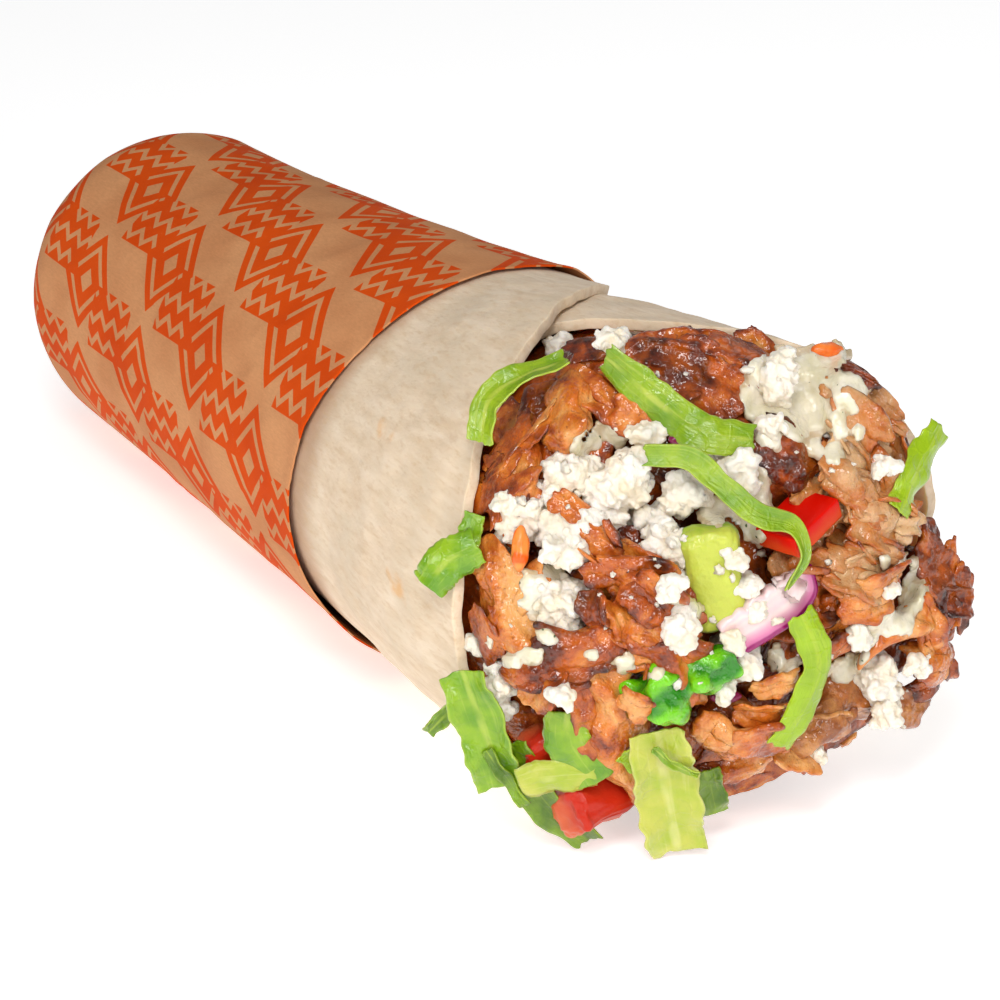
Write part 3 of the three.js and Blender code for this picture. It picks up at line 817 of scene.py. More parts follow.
def meat_mesh(row, seed, rng):
    """One torn shaving of meat: a lump with folds grown into it, and thin flaps on top."""
    lump = lump_mesh(**row, seed=seed, fine=4)
    wide = row["wide"]
    for _ in range(row.get("folds", 2)):
        absorb(lump, flake_mesh(
            beside(rng, row, wide * 0.18, rng.uniform(5, 8)), wide * rng.uniform(0.6, 0.95),
            row["lift"] + rng.uniform(-1, 0.5), seed=seed + rng.random(), thick=rng.uniform(2, 3),
            curl=0.12, crumple=0.9, grid=(18, 12), roll=rng.uniform(-30, 30),
        ))
    ends = [on_mound(row["at"][k], 0) for k in (0, -1)]
    way = (ends[1] - ends[0]).normalized()
    skin = grained(fused(lump, 0.4, 2), way, seed, row.get("depth", 1.0), row["tone"])
    flaps = row.get("flaps", 2)
    for _ in range(flaps):
        absorb(skin, flake_mesh(
            beside(rng, row, wide * 0.35, rng.uniform(3.5, 7)), rng.uniform(4, 7.5),
            row["lift"] + rng.uniform(-0.6, 0.8), seed=seed + rng.random(), thick=rng.uniform(1.1, 1.8),
            tone=row["tone"] + rng.uniform(-0.25, 0.25), roll=rng.uniform(-28, 28), grid=(26, 16),
        ))
    if flaps > 1:
        add_chips(skin, rng, row, seed, 6 if row.get("pale") else 4)
    return kept_in(skin)


def add_chips(bm, rng, row, seed, count):
    """Frays a piece with torn bits that stand up from it."""
    for _ in range(count):
        absorb(bm, flake_mesh(
            beside(rng, row, row["wide"] * 0.4, rng.uniform(1.4, 2.8)), rng.uniform(1.8, 3.4),
            row["lift"] + rng.uniform(0, 1.3), seed=seed + 9 * rng.random(),
            thick=rng.uniform(0.7, 1.1), curl=0.3, crumple=0.6,
            tone=row["tone"] + rng.uniform(-0.4, 0.5), roll=rng.uniform(-60, 60), grid=(10, 6),
        ))


def leaf_mesh(
    at, wide, lift, seed=0, thick=0.34, ruffle=0.5, fold=0.4, waves=2.0, taper=0.6, grid=(64, 14),
    tone=0.5, roll=0, arch=0, shift=0, point=0.0, **_,
):
    """A shred of leaf with ruffled sides and its rib along the middle."""
    line = Line(at, lift, roll, arch)
    bm = new_mesh(uv=True)
    bmesh.ops.create_grid(bm, x_segments=grid[0], y_segments=grid[1], size=1, calc_uvs=True)
    crisp, shade = marks(bm)
    for v in bm.verts:
        u, w = v.co.x, v.co.y
        share = 0.5 + 0.5 * u
        along = share + 0.035 * u**5 * seeded((w, u, 0), seed + 1, 0.35)
        full = taper + (1 - taper) * math.sin(math.pi * (0.14 + 0.72 * share)) ** 0.6
        full *= 1 - point * smooth(share, 0.55, 1.0)
        ragged = 1 + 0.16 * abs(w) * seeded((u * 5, math.copysign(2, w), 0), seed, 0.8)
        middle, side, up = line.at(along)
        across = (w + shift) * wide / 2 * full * ragged
        wave = math.sin(math.pi * waves * (1 + u) + 0.9 * w + seed)
        rise = ruffle * wave * abs(w) ** 1.5 + fold * w * w
        rise += 0.3 * seeded((along * line.length, across, 0), seed + 2, 3.4)
        v.co = middle + side * across + up * rise
        v[crisp] = abs(w)
        v[shade] = tone
    thicken(bm, thick, rounds=1)
    return bm


def crumb_mesh(rng, centre, out, wide, high, deep):
    """A clump of crumbled cheese: soft curds run together, with small grains all over them."""
    bm = bmesh.new()
    side = Vector((0, 1, 0)).cross(out).cross(out).normalized() * -1
    along = out.cross(side)

    def add(place, radius, flat, rounds):
        made = bmesh.ops.create_icosphere(bm, subdivisions=rounds, radius=radius)
        squash = Matrix.Diagonal((1, rng.uniform(flat, 1), rng.uniform(flat, 1.1), 1))
        turn = Matrix.Rotation(rng.uniform(0, 6.28), 4, Vector((rng.random(), rng.random(), 1)))
        bmesh.ops.transform(bm, matrix=Matrix.Translation(place) @ turn @ squash, verts=made["verts"])

    small = min(wide, high, deep)
    for _ in range(5 + round(wide * high * 0.08)):
        way = Vector((rng.gauss(0, 1), rng.gauss(0, 1), rng.gauss(0, 1))).normalized()
        far = rng.uniform(0.25, 0.78)
        place = side * way.x * wide / 2 + along * way.y * high / 2 + out * way.z * deep / 2
        add(centre + place * far, small * rng.uniform(0.2, 0.3), 0.75, 2)
    bm = fused(bm, 0.6, 1)
    bm.normal_update()
    spots = [(v.co.copy(), v.normal.copy()) for v in bm.verts]
    for place, normal in rng.sample(spots, min(len(spots), round(wide * high * 1.6) + 20)):
        size = rng.choice((0.4, 0.5, 0.65, 0.85, 1.15))
        add(place + normal * size * 0.1, size, 0.55, 1)
    return roughen(fused(bm, 0.27, 1), rng.random() * 9, [(2.2, 0.5), (0.9, 0.22), (0.5, 0.16)])


def roughen(bm, seed, sizes, tone=0.5):
    """Moves a fused surface in and out along its normals, at each size by its depth."""
    bm.normal_update()
    crisp, shade = marks(bm)
    moves = []
    for v in bm.verts:
        push = sum(depth * seeded(v.co, seed + k, size) for k, (size, depth) in enumerate(sizes))
        moves.append(v.normal * push)
        v[crisp] = clamp(0.5 + push)
        if tone is not None:
            v[shade] = tone
    for v, move in zip(bm.verts, moves):
        v.co += move
    return bm


def filling_top(*left_out):
    """The surface of the pieces made so far, in the roll's millimetres, to drop things on."""
    whole = bmesh.new()
    for name in MADE:
        if not name.startswith(left_out or ("none",)):
            whole.from_mesh(bpy.data.objects[name].data)
    whole.transform(TO_ROW.inverted())
    top = BVHTree.FromBMesh(whole)
    whole.free()
    return top


def dropped(top, y, up, lift):
    """Where a point over the mound, as seen from the viewpoint, lies on a piece, and the way out."""
    NEAR_ENOUGH = 25  # a sight line that goes past the heap ends further off
    aim = on_mound((y, up), lift)
    sight = (aim - VIEWPOINT).normalized()
    place, normal, _, _ = top.ray_cast(VIEWPOINT, sight, SIGHT_REACH)
    if place is None or (place - aim).length > NEAR_ENOUGH:
        return None, None
    return place, (mound_out(y, up) + normal).normalized()


def coat_mesh(top, drops, lift, seed, cell=0.62, thick=1.0):
    """Thick sauce run over what lies there: a sheet laid on it, cut out where no drop reaches."""
    low_y, low_up = (min(drop[k] - drop[2] for drop in drops) - 2 for k in (0, 1))
    high_y, high_up = (max(drop[k] + drop[2] for drop in drops) + 2 for k in (0, 1))
    steps_y, steps_up = round((high_y - low_y) / cell), round((high_up - low_up) / cell)
    bm = new_mesh()
    bmesh.ops.create_grid(bm, x_segments=steps_y, y_segments=steps_up, size=1)
    shade = bm.verts.layers.float["tone"]
    cover, depth, sights = {}, {}, {}
    for v in bm.verts:
        y, up = mix(low_y, high_y, (v.co.x + 1) / 2), mix(low_up, high_up, (v.co.y + 1) / 2)
        aim = on_mound((y, up), lift)
        sights[v] = (aim - VIEWPOINT).normalized()
        reach = (aim - VIEWPOINT).length
        place, *_ = top.ray_cast(VIEWPOINT, sights[v], SIGHT_REACH)
        found = (place - VIEWPOINT).length if place else reach + 3
        depth[v] = min(reach + 5, max(reach - 5, found))
        wobble = 0.9 * seeded((y, up, 0), seed, 2.6) + 0.5 * seeded((y, up, 5), seed, 1.1)
        nearest = max(r * r / (0.1 + (y - a) ** 2 + (up - b) ** 2) for a, b, r in drops)
        cover[v] = wobble - 1.15 + nearest
    around = {v: [edge.other_vert(v) for edge in v.link_edges] for v in bm.verts}
    # it clings to what stands out and sags a little into what lies between
    depth = {v: min([depth[v], *(depth[n] for n in around[v])]) for v in bm.verts}
    for _ in range(4):
        depth = {v: mix(depth[v], sum(depth[n] for n in around[v]) / len(around[v]), 0.6) for v in bm.verts}
    for v in bm.verts:
        body = smooth(cover[v], 0, 0.9)
        v[shade] = body
        v.co = VIEWPOINT + sights[v] * (depth[v] + 0.5 - 1.1 * body)
    bare = [f for f in bm.faces if max(cover[v] for v in f.verts) < 0]
    torn = [f for f in bm.faces if max(depth[v] for v in f.verts) - min(depth[v] for v in f.verts) > 3]
    bmesh.ops.delete(bm, geom=list({*bare, *torn}), context="FACES")
    if not bm.faces:
        return bm
    thicken(bm, thick, rounds=0)
    bmesh.ops.subdivide_edges(bm, edges=bm.edges[:], cuts=1, use_grid_fill=True)
    soften(bm, 5)
    return roughen(bm, seed, [(2.4, 0.3), (0.9, 0.2)], tone=None)


def tinted(bm):
    """Lets the colour follow the swells of the piece."""
    crisp, shade = marks(bm)
    for v in bm.verts:
        v[shade] = v[crisp]
    return bm


def block_mesh(centre, axes, size, seed=0, bevel=0.5, rough=0.25, tone=0.5):
    """A cut cube of vegetable with soft edges. axes are its length and its up direction."""
    bm = new_mesh()
    bmesh.ops.create_cube(bm, size=1)
    bmesh.ops.scale(bm, vec=Vector(size), verts=bm.verts[:])
    bmesh.ops.bevel(
        bm, geom=bm.edges[:], offset=bevel, segments=3, profile=0.5, affect="EDGES", material=-1
    )
    bmesh.ops.triangulate(bm, faces=[f for f in bm.faces if len(f.verts) > 4])
    bmesh.ops.subdivide_edges(bm, edges=bm.edges[:], cuts=5, use_grid_fill=True)
    bmesh.ops.triangulate(bm, faces=bm.faces[:])
    length, up = (Vector(axis).normalized() for axis in axes)
    side = up.cross(length).normalized()
    up = length.cross(side)
    basis = Matrix((length, side, up)).transposed().to_4x4()
    roughen(bm, seed, [(4, rough), (1.3, rough * 0.35)], tone)
    shade = bm.verts.layers.float["tone"]
    for v in bm.verts:
        v[shade] = 0.5 + v.co.z / size[2]
    bm.transform(Matrix.Translation(centre) @ basis)
    return bm


# ---- finishes of the filling ----


def meat_finish(name, *stops, amber=0.35):
    """Browned meat: cloudy amber to dark patches over its ridges and fibres, under a wet film of fat."""
    meat = Finish(
        name, Roughness=0.45, Subsurface_Weight=0.12, Subsurface_Scale=0.001,
        Subsurface_Radius=(1.0, 0.35, 0.12), Coat_Weight=1.0, Coat_Roughness=0.1, Coat_IOR=1.5,
        Specular_IOR_Level=0.1,
    )
    crisp, tone = meat.attribute("crisp"), meat.attribute("tone")
    fibre = meat.places("fibre")
    patches = meat.noise(3.6, detail=4, rough=0.58, twist=0.9)
    strands = meat.noise(1.2, fibre, detail=4, rough=0.55, twist=0.3)
    level = meat.sums("MULTIPLY_ADD", patches, 1.0, meat.sums("MULTIPLY", crisp, 0.5))
    level = meat.sums("MULTIPLY_ADD", tone, 0.6, meat.sums("SUBTRACT", level, 0.56))
    level = meat.sums("MULTIPLY_ADD", strands, 0.3, meat.sums("SUBTRACT", level, 0.15))
    base = meat.ramp(level, *stops)
    glow = meat.between(meat.noise(5, detail=2), 0.45, 0.66)
    base = meat.layer(base, glow, amber, srgb(214, 104, 10))
    freckles = meat.between(meat.noise(0.8, detail=2, rough=0.6), 0.62, 0.72)
    base = meat.layer(base, freckles, 0.5, stops[-2][1])
    meat.colour(base)
    lumps = meat.relief(meat.noise(1.7, detail=3, rough=0.6, twist=0.6), 0.7, 0.6)
    torn = meat.relief(strands, 0.3, 0.6, over=lumps)
    meat.relief(meat.noise(0.36, detail=2, rough=0.6), 0.2, 0.8, over=torn, sockets=["Normal"])
    film = meat.relief(meat.noise(2.2, detail=0), 0.5, 0.7, sockets=["Coat Normal"])
    meat.relief(meat.noise(0.8, detail=0), 0.36, 1.0, over=film, sockets=["Coat Normal"])
    return meat.material


def cheese_finish(colours):
    """Dry crumbly cheese: soft white with creamier clouding, painted shade in its hollows and a fine floury
    grain.
    """
    cheese = Finish(
        "crumbled_cheese", Roughness=0.62, Subsurface_Weight=0.35, Subsurface_Scale=0.0016,
        Subsurface_Radius=(1.0, 0.82, 0.6), Specular_IOR_Level=0.3,
    )
    cloud = cheese.noise(6, detail=3)
    base = cheese.blend(cheese.between(cloud, 0.4, 0.72), colours.cheese, colours.cheese_shade)
    # Painted shade: the creamier, darker colour laid into the hollows of the crumbs.
    hollow_shade = cheese.between(cheese.attribute("crisp"), 0.46, 0.3)
    base = cheese.layer(base, hollow_shade, 0.4, colours.cheese_shade)
    cheese.colour(base)
    crumb = cheese.cells(0.9)
    soft = cheese.relief(crumb, 0.35, 0.55)
    cheese.relief(cheese.noise(0.36, detail=4, rough=0.75), 0.3, 0.9, over=soft)
    return cheese.material


def leaf_finish(name, green, rib, edge, ribbed):
    """Crisp leaf: soft clouding, a paler rib, faint side veins and a wet shine."""
    leaf = Finish(
        name, Roughness=0.3, Subsurface_Weight=0.3, Subsurface_Scale=0.001, Specular_IOR_Level=0.2,
        Subsurface_Radius=(0.9, 1.0, 0.2), Coat_Weight=0.7, Coat_Roughness=0.12,
    )
    cloud = leaf.noise(5, detail=3)
    base = leaf.blend(leaf.between(cloud, 0.32, 0.7), green, edge)
    split = leaf.node("SeparateXYZ", {"Vector": leaf.uv()})
    middle = leaf.sums("ABSOLUTE", leaf.sums("SUBTRACT", split.outputs[1], 0.5))
    wander = leaf.noise(0.3, leaf.uv(), detail=2)
    middle = leaf.sums("MULTIPLY_ADD", wander, 0.16, leaf.sums("SUBTRACT", middle, 0.08))
    fading = leaf.between(leaf.noise(7, detail=1), 0.4, 0.6)
    fading = leaf.sums("MULTIPLY", fading, ribbed)
    base = leaf.layer(base, leaf.between(middle, 0.1, 0.01), fading, rib)
    pale_edge = leaf.between(leaf.attribute("crisp"), 0.9, 1.0)
    base = leaf.layer(base, pale_edge, 0.35, rib)
    long_way = leaf.node("Mapping", {"Vector": leaf.uv(), "Scale": (1.2, 9, 1)}).outputs[0]
    veins = leaf.noise(0.9, long_way, detail=3, rough=0.6)
    base = leaf.layer(base, leaf.between(veins, 0.52, 0.66), 0.22, rib)
    leaf.colour(base)
    net = leaf.between(leaf.cells(2.6, feature="DISTANCE_TO_EDGE"), 0.12, 0.0)
    soft = leaf.relief(leaf.sums("MULTIPLY_ADD", net, 0.35, veins), 0.25, 0.6)
    leaf.relief(leaf.noise(1.4, detail=3), 0.35, 0.5, over=soft)
    return leaf.material


def flesh_finish(name, inner, outer, size=3.0, shine=0.22, bump=0.3, coat=0.5, light=0.3):
    """Wet vegetable flesh whose colour runs from inner to outer over the piece."""
    flesh = Finish(
        name, Roughness=shine, Subsurface_Weight=0.25, Subsurface_Scale=0.0015, Specular_IOR_Level=light,
        Subsurface_Radius=(1.0, 0.5, 0.15), Coat_Weight=coat, Coat_Roughness=0.08,
    )
    cloud = flesh.noise(size, detail=3)
    tone = flesh.sums("MULTIPLY_ADD", cloud, 0.7, -0.25)
    share = flesh.sums("MULTIPLY_ADD", flesh.attribute("tone"), 0.8, tone)
    flesh.colour(flesh.blend(flesh.between(share, 0.2, 0.8), inner, outer))
    soft = flesh.relief(flesh.noise(size * 0.5, detail=3), bump, 0.6)
    flesh.relief(flesh.noise(0.35, detail=2), 0.05, 0.5, over=soft)
    return flesh.material


def sauce_finish(colours):
    """Thick pale sauce with specks of herbs."""
    sauce = Finish(
        "herb_sauce", Roughness=0.22, Subsurface_Weight=0.5, Subsurface_Scale=0.0025,
        Subsurface_Radius=(1.0, 0.92, 0.6), Coat_Weight=0.5, Coat_Roughness=0.1,
    )
    cloud = sauce.noise(4.5, detail=3, twist=0.5)
    base = sauce.blend(sauce.between(cloud, 0.35, 0.7), colours.sauce, colours.sauce_shade)
    thin = sauce.between(sauce.attribute("tone"), 0.45, 0.0)
    base = sauce.layer(base, thin, 0.55, srgb(176, 140, 92))
    specks = sauce.cells(2.6)
    ragged = sauce.sums("MULTIPLY_ADD", sauce.noise(0.4, detail=2), 0.18, specks)
    base = sauce.blend(sauce.between(ragged, 0.21, 0.16), base, srgb(88, 102, 70))
    sauce.colour(base)
    soft = sauce.relief(sauce.noise(2.2, detail=2), 0.5, 0.5)
    sauce.relief(sauce.noise(0.8, detail=3), 0.25, 0.6, over=soft)
    return sauce.material


def onion_finish():
    """Pale pink flesh with fine lines and a purple skin along one side."""
    onion = Finish(
        "red_onion", Roughness=0.25, Subsurface_Weight=0.35, Subsurface_Scale=0.0015,
        Subsurface_Radius=(1.0, 0.6, 0.8), Coat_Weight=0.4, Coat_Roughness=0.1,
    )
    split = onion.node("SeparateXYZ", {"Vector": onion.uv()})
    across = onion.sums("SUBTRACT", 1.0, split.outputs[1])
    long_way = onion.node("Mapping", {"Vector": onion.uv(), "Scale": (0.12, 1, 1)}).outputs[0]
    lines = onion.noise(0.2, long_way, detail=1)
    base = onion.blend(onion.between(lines, 0.3, 0.7), srgb(236, 212, 206), srgb(226, 192, 196))
    base = onion.blend(onion.between(across, 0.5, 0.88), base, srgb(204, 110, 156))
    base = onion.blend(onion.between(across, 0.85, 0.9), base, srgb(146, 4, 96))
    onion.colour(base)
    onion.relief(lines, 0.12, 0.4)
    return onion.material


# ---- what lies where: places are (y, up) across the mouth ----

LEAVES = [
    dict(
        name="lettuce_01", at=[(-15.4, 40), (-11.3, 34.9), (-6, 30), (1.9, 28.2)], wide=6.2, lift=8.5,
        roll=(50, 5), taper=0.55, fold=-0.35, ruffle=0.3, kind="leaf",
    ),
    dict(
        name="lettuce_02",
        at=[(-16.3, 28.6), (-10.4, 28.1), (-6.9, 24.4), (-2.4, 19.6), (2.8, 17.4), (3.8, 13), (0.4, 8.6)],
        wide=3.6, lift=12.2, waves=1, ruffle=0.3, roll=(30, -20), taper=0.8, point=0.8, kind="leaf",
    ),
    dict(
        name="lettuce_03", at=[(4.1, 2.6), (6.8, -5.3), (5, -12.5), (1.4, -20.2)], wide=5.4, lift=9.4,
        arch=0.4, taper=0.85, ruffle=0.4, fold=-0.5, kind="bright",
    ),
    dict(
        name="lettuce_04", at=[(-17.4, -15), (-14.9, -26.6), (-11.2, -39.3)], wide=10.5, lift=8, fold=1.2,
        ruffle=0.9, taper=0.72, kind="pale",
    ),
    dict(
        name="lettuce_05", at=[(-33.9, 27.6), (-31.4, 33.1), (-26.4, 36.3), (-19.9, 38.8)], wide=5.4,
        lift=6.5, arch=1, roll=(-10, -50), taper=0.5, fold=0.9, kind="leaf",
    ),
    dict(
        name="lettuce_06", at=[(24, 14.4), (28.6, 19.1), (36, 24)], wide=6, lift=10.4, fold=-0.8,
        taper=0.55, roll=10, kind="bright",
    ),
    dict(
        name="lettuce_07", at=[(-44.2, 6), (-41.5, 10), (-37.5, 13)], wide=6.6, lift=6, fold=-1, kind="mid",
    ),
    dict(
        name="lettuce_08", at=[(-41, -7), (-38.4, -17), (-35.6, -27.2)], wide=8.4, lift=6, fold=1.4,
        taper=0.75, ruffle=0.8, kind="mid",
    ),
    dict(
        name="lettuce_09", at=[(-34.7, -19.1), (-30.1, -29.8), (-22.6, -38.4)], wide=6.4, lift=4.8,
        kind="dark",
    ),
    dict(
        name="lettuce_10", at=[(-29.5, -11.7), (-29, -17.6), (-24.7, -24.6)], wide=7.4, lift=8, fold=-1,
        taper=0.75, kind="mid",
    ),
    dict(name="lettuce_11", at=[(-7, -26), (-4, -35)], wide=5, lift=4, taper=0.9, kind="dark"),
]
# Smaller shreds of leaf, without a solid of their own.
SHREDS = [
    dict(at=[(-44.8, -18.7), (-43, -15.8), (-40.2, -12)], wide=2.6, lift=5, kind="dark"),
    dict(at=[(-38.4, 11), (-36.3, 17)], wide=3.6, lift=4, kind="mid"),
    dict(at=[(-34.6, -25.4), (-30, -23.8), (-25, -23)], wide=6.6, lift=8, fold=-0.8, kind="pale"),
    dict(at=[(-21.4, -21.6), (-19, -19), (-17, -17)], wide=4, lift=7.6, point=0.5, kind="bright"),
    dict(at=[(-18.6, -17.2), (-15.3, -20.6), (-11.4, -22.8)], wide=1.6, lift=9.6, kind="leaf"),
    dict(at=[(-38.5, -20), (-33, -30)], wide=2.4, lift=7, kind="dark"),
]

# Kinds of leaf: the finish's name, green, rib, edge and how much the rib shows.
LEAF_KINDS = {
    "leaf": ("lettuce", (142, 168, 22), (196, 200, 92), (106, 144, 14), 0.5),
    "bright": ("lettuce_bright", (150, 182, 8), (190, 200, 60), (136, 166, 8), 0.3),
    "mid": ("lettuce_mid", (136, 170, 24), (184, 196, 84), (92, 140, 14), 0.5),
    "pale": ("lettuce_pale", (184, 186, 74), (210, 208, 138), (156, 174, 44), 0.5),
    "dark": ("lettuce_dark", (116, 150, 16), (166, 184, 48), (70, 104, 8), 0.5),
}

# Shavings of meat. folds, flaps and depth say how torn each is, tone how dark.
MEATS = [
    dict(
        name="meat_01", at=[(-20.4, 40.4), (-22.6, 34.6), (-25.4, 28)], wide=9.4, thick=10, lift=9,
        blunt=0.75, rough=0.2, tone=0.2, depth=1.0, folds=0, flaps=0,
    ),
    dict(name="meat_02", at=[(-28.2, 30), (-32.6, 20)], wide=10.5, thick=10, lift=4, tone=0.5, folds=4),
    dict(
        name="meat_03", at=[(-20.2, 39), (-15.1, 41), (-10, 38.6)], wide=5, thick=8, lift=4.6, arch=1,
        tone=0.95, folds=1, flaps=0,
    ),
    dict(name="meat_04", at=[(-17, 34.5), (-8.5, 31.5)], wide=10.5, thick=9, lift=3, tone=0.62, flaps=1),
    dict(
        name="meat_05", at=[(-9.5, 39.4), (-1.6, 37), (6.4, 30)], wide=13, thick=12, lift=4.2, roll=12,
        tone=0.8, folds=5, flaps=1,
    ),
    dict(
        name="meat_06", at=[(4.4, 24.6), (11.6, 21), (21.6, 21)], wide=11.6, thick=10, lift=3.6, tone=1.0,
        flaps=1,
    ),
    dict(
        name="meat_07", at=[(23.4, 32), (28.4, 25.6), (30.6, 17)], wide=10.4, thick=10, lift=3.4, tone=0.3,
        pale=True, folds=4, flaps=3,
    ),
    dict(
        name="meat_08", at=[(13.4, 18), (20.4, 16.4), (28.6, 10)], wide=10, thick=9, lift=4, roll=-10,
        tone=0.4, pale=True, folds=4, flaps=4,
    ),
    dict(
        name="meat_09", at=[(9.4, 7.6), (17.4, 7.4), (25.4, 4.6)], wide=10, thick=9, lift=4, roll=14,
        tone=0.5, pale=True, folds=4, flaps=4,
    ),
    dict(
        name="meat_10", at=[(33, 3.4), (37.6, -5.4), (39.6, -15)], wide=10, thick=10, lift=4, rough=0.22,
        tone=0.85, folds=4, flaps=4,
    ),
    dict(
        name="meat_11", at=[(17.2, -11.6), (20.8, -7), (27.4, -6), (36.4, -10.6)], wide=4, thick=4,
        lift=7.6, arch=0.8, tone=-0.1, depth=0.35, folds=0, flaps=0, blunt=0.4,
    ),
    dict(
        name="meat_12", at=[(12, -22.4), (19.4, -18.8), (29.6, -22.4)], wide=11, thick=10, lift=3.6,
        tone=0.4, depth=0.45, folds=1, flaps=2, skin="onion",
    ),
    dict(
        name="meat_13", at=[(-10, -17), (-4, -18.4), (3.4, -18.4)], wide=11, thick=9, lift=6.4, roll=-12,
        tone=0.3, depth=0.8, folds=1, flaps=1,
    ),
    dict(
        name="meat_14", at=[(-23.6, 14.6), (-19.6, 9.6), (-14, 4)], wide=10, thick=11, lift=6.6, rough=0.25,
        tone=0.45, folds=3, flaps=3,
    ),
    dict(
        name="meat_15", at=[(-32.6, -8), (-28.6, -3), (-23.4, -0.6)], wide=8, thick=9, lift=6.4, rough=0.22,
        tone=0.7, folds=3,
    ),
    dict(
        name="meat_16", at=[(-27.6, -2), (-24.6, -9.4), (-23.4, -17), (-18.4, -32)], wide=9.4, thick=8,
        lift=8.6, blunt=0.4, tone=0.22, depth=0.9, folds=1, flaps=1,
    ),
    dict(
        name="meat_17", at=[(-36.8, 11.6), (-35.4, 4), (-34.6, -3)], wide=8.6, thick=9, lift=5, tone=0.22,
        depth=0.8, folds=3, flaps=1,
    ),
    dict(
        name="meat_18", at=[(-19.4, 4), (-14.4, -7)], wide=8.6, thick=9, lift=6.8, rough=0.24, tone=0.42,
        folds=4, flaps=4,
    ),
    dict(
        name="meat_19", at=[(-1.6, -27), (5.6, -26.4), (12.6, -27.6)], wide=7.4, thick=9, lift=0, tone=0.3,
        folds=2, flaps=1,
    ),
    dict(
        name="meat_20", at=[(3, -5.4), (11, -2), (18.6, -1)], wide=10, thick=9, lift=3.2, tone=0.75,
        folds=3,
    ),
    dict(
        name="meat_21", at=[(23.6, 32.2), (27.4, 27.6), (30, 22.4)], wide=6.6, thick=8, lift=4.6, roll=20,
        rough=0.24, tone=0.9, flaps=3,
    ),
]
# Thin shavings that stand out, without a solid of their own: places, width, lift, tone, roll.
SHAVINGS = [
    ([(-30.6, 28.4), (-26.6, 32), (-22.6, 34.4)], 5, 5, 0.35, 30),
    ([(1.6, 41), (6.4, 38.6), (10, 35.4)], 6.4, 4.6, 0.7, -20),
    ([(20, 35.6), (22.2, 33.7), (24.4, 31.2)], 5, 9.4, 1.0, 20),
    ([(13, 2.8), (18.4, 2.4), (24, 2.6)], 7.4, 6.6, 0.2, 15),
    ([(10.4, -8.6), (13.4, -6.4), (16.4, -6.2)], 4.4, 6, 0.6, 20),
    ([(28.8, -2.6), (30.6, -8), (33, -13)], 5, 5, 0.25, 10),
    ([(27.4, -14), (31.8, -13.6), (36.6, -14.6)], 6.4, 5, 0.4, -25),
    ([(29.6, -20.4), (33.2, -19.4), (36.6, -18.6)], 4.6, 2, 1.0, 15),
    ([(-4.4, -13.4), (0.6, -14.6), (5.8, -14.8)], 5.4, 5.6, 0.2, 20),
    ([(4.4, -22.6), (9, -24.6), (13.4, -26)], 5, 3.6, 0.15, -20),
    ([(-26.2, 8.4), (-26, 5.4), (-25.2, 2.4)], 4, 9, 0.8, 30),
    ([(-23.4, 7.6), (-22.6, 4.8), (-21.8, 2)], 3.6, 9.2, 0.55, -30),
    ([(-21, 10.6), (-18, 7.6), (-14.6, 4)], 7.4, 8, 0.7, 10),
    ([(-40.4, 2.6), (-38.6, -1), (-36.4, -4.8)], 6, 4.4, 0.6, 20),
    ([(-34.6, -11.4), (-32.6, -7.6), (-31, -3.4)], 6.4, 7, 0.3, -25),
    ([(-2.4, -9.6), (1.4, -9), (5.6, -9)], 4, 6.4, -0.1, 10),
    ([(-23.4, -7), (-21, -8.6), (-18.4, -10.6)], 5, 9.4, 0.0, 20),
]
PALE_SHAVINGS = [
    ([(19.6, 31.6), (23.2, 28), (26, 23)], 8.4, 8.6, 0.4, 20),
    ([(17.6, 28), (20.6, 24.2), (23.6, 19.8)], 9, 7.4, 0.1, -12),
    ([(23.4, 23), (25, 18.6), (25.2, 14.6)], 7, 7, 0.45, 15),
    ([(14.6, 21), (18.4, 17.6), (23.6, 13)], 8.4, 7.4, 0.25, -10),
    ([(14.6, 12), (19.4, 9.6), (24.6, 6.8)], 8, 7.6, 0.4, 15),
    ([(17.6, 15), (22.4, 13.4), (26.4, 10)], 7.6, 8.2, 0.1, -20),
    ([(10.4, 8), (16, 5.2), (22, 1.4)], 8, 7.6, 0.55, -15),
    ([(15, 21.4), (17.6, 19), (19.6, 15.4)], 6, 8, 0.5, 25),
]

# Flesh of vegetables: the colours inside and outside, the size of the clouding and the gloss.
FLESHES = {
    "tomato_flesh": ((206, 62, 16), (206, 12, 0), dict(size=4, shine=0.4, bump=0.1, coat=0.12, light=0.1)),
    "tomato_skin": ((204, 98, 56), (186, 38, 14), dict(size=5, shine=0.4, bump=0.4, coat=0.3, light=0.15)),
    "green_pepper": ((34, 122, 2), (112, 194, 8), dict(size=3, shine=0.2, bump=1.2, coat=0.9, light=0.15)),
    "avocado": ((120, 152, 26), (188, 196, 76), dict(size=3, shine=0.35, bump=0.7, coat=0.4, light=0.15)),
    "carrot": ((236, 140, 60), (230, 92, 14), dict(size=2, light=0.2)),
    "onion_skin": ((130, 6, 70), (84, 2, 44), dict(size=2)),
}
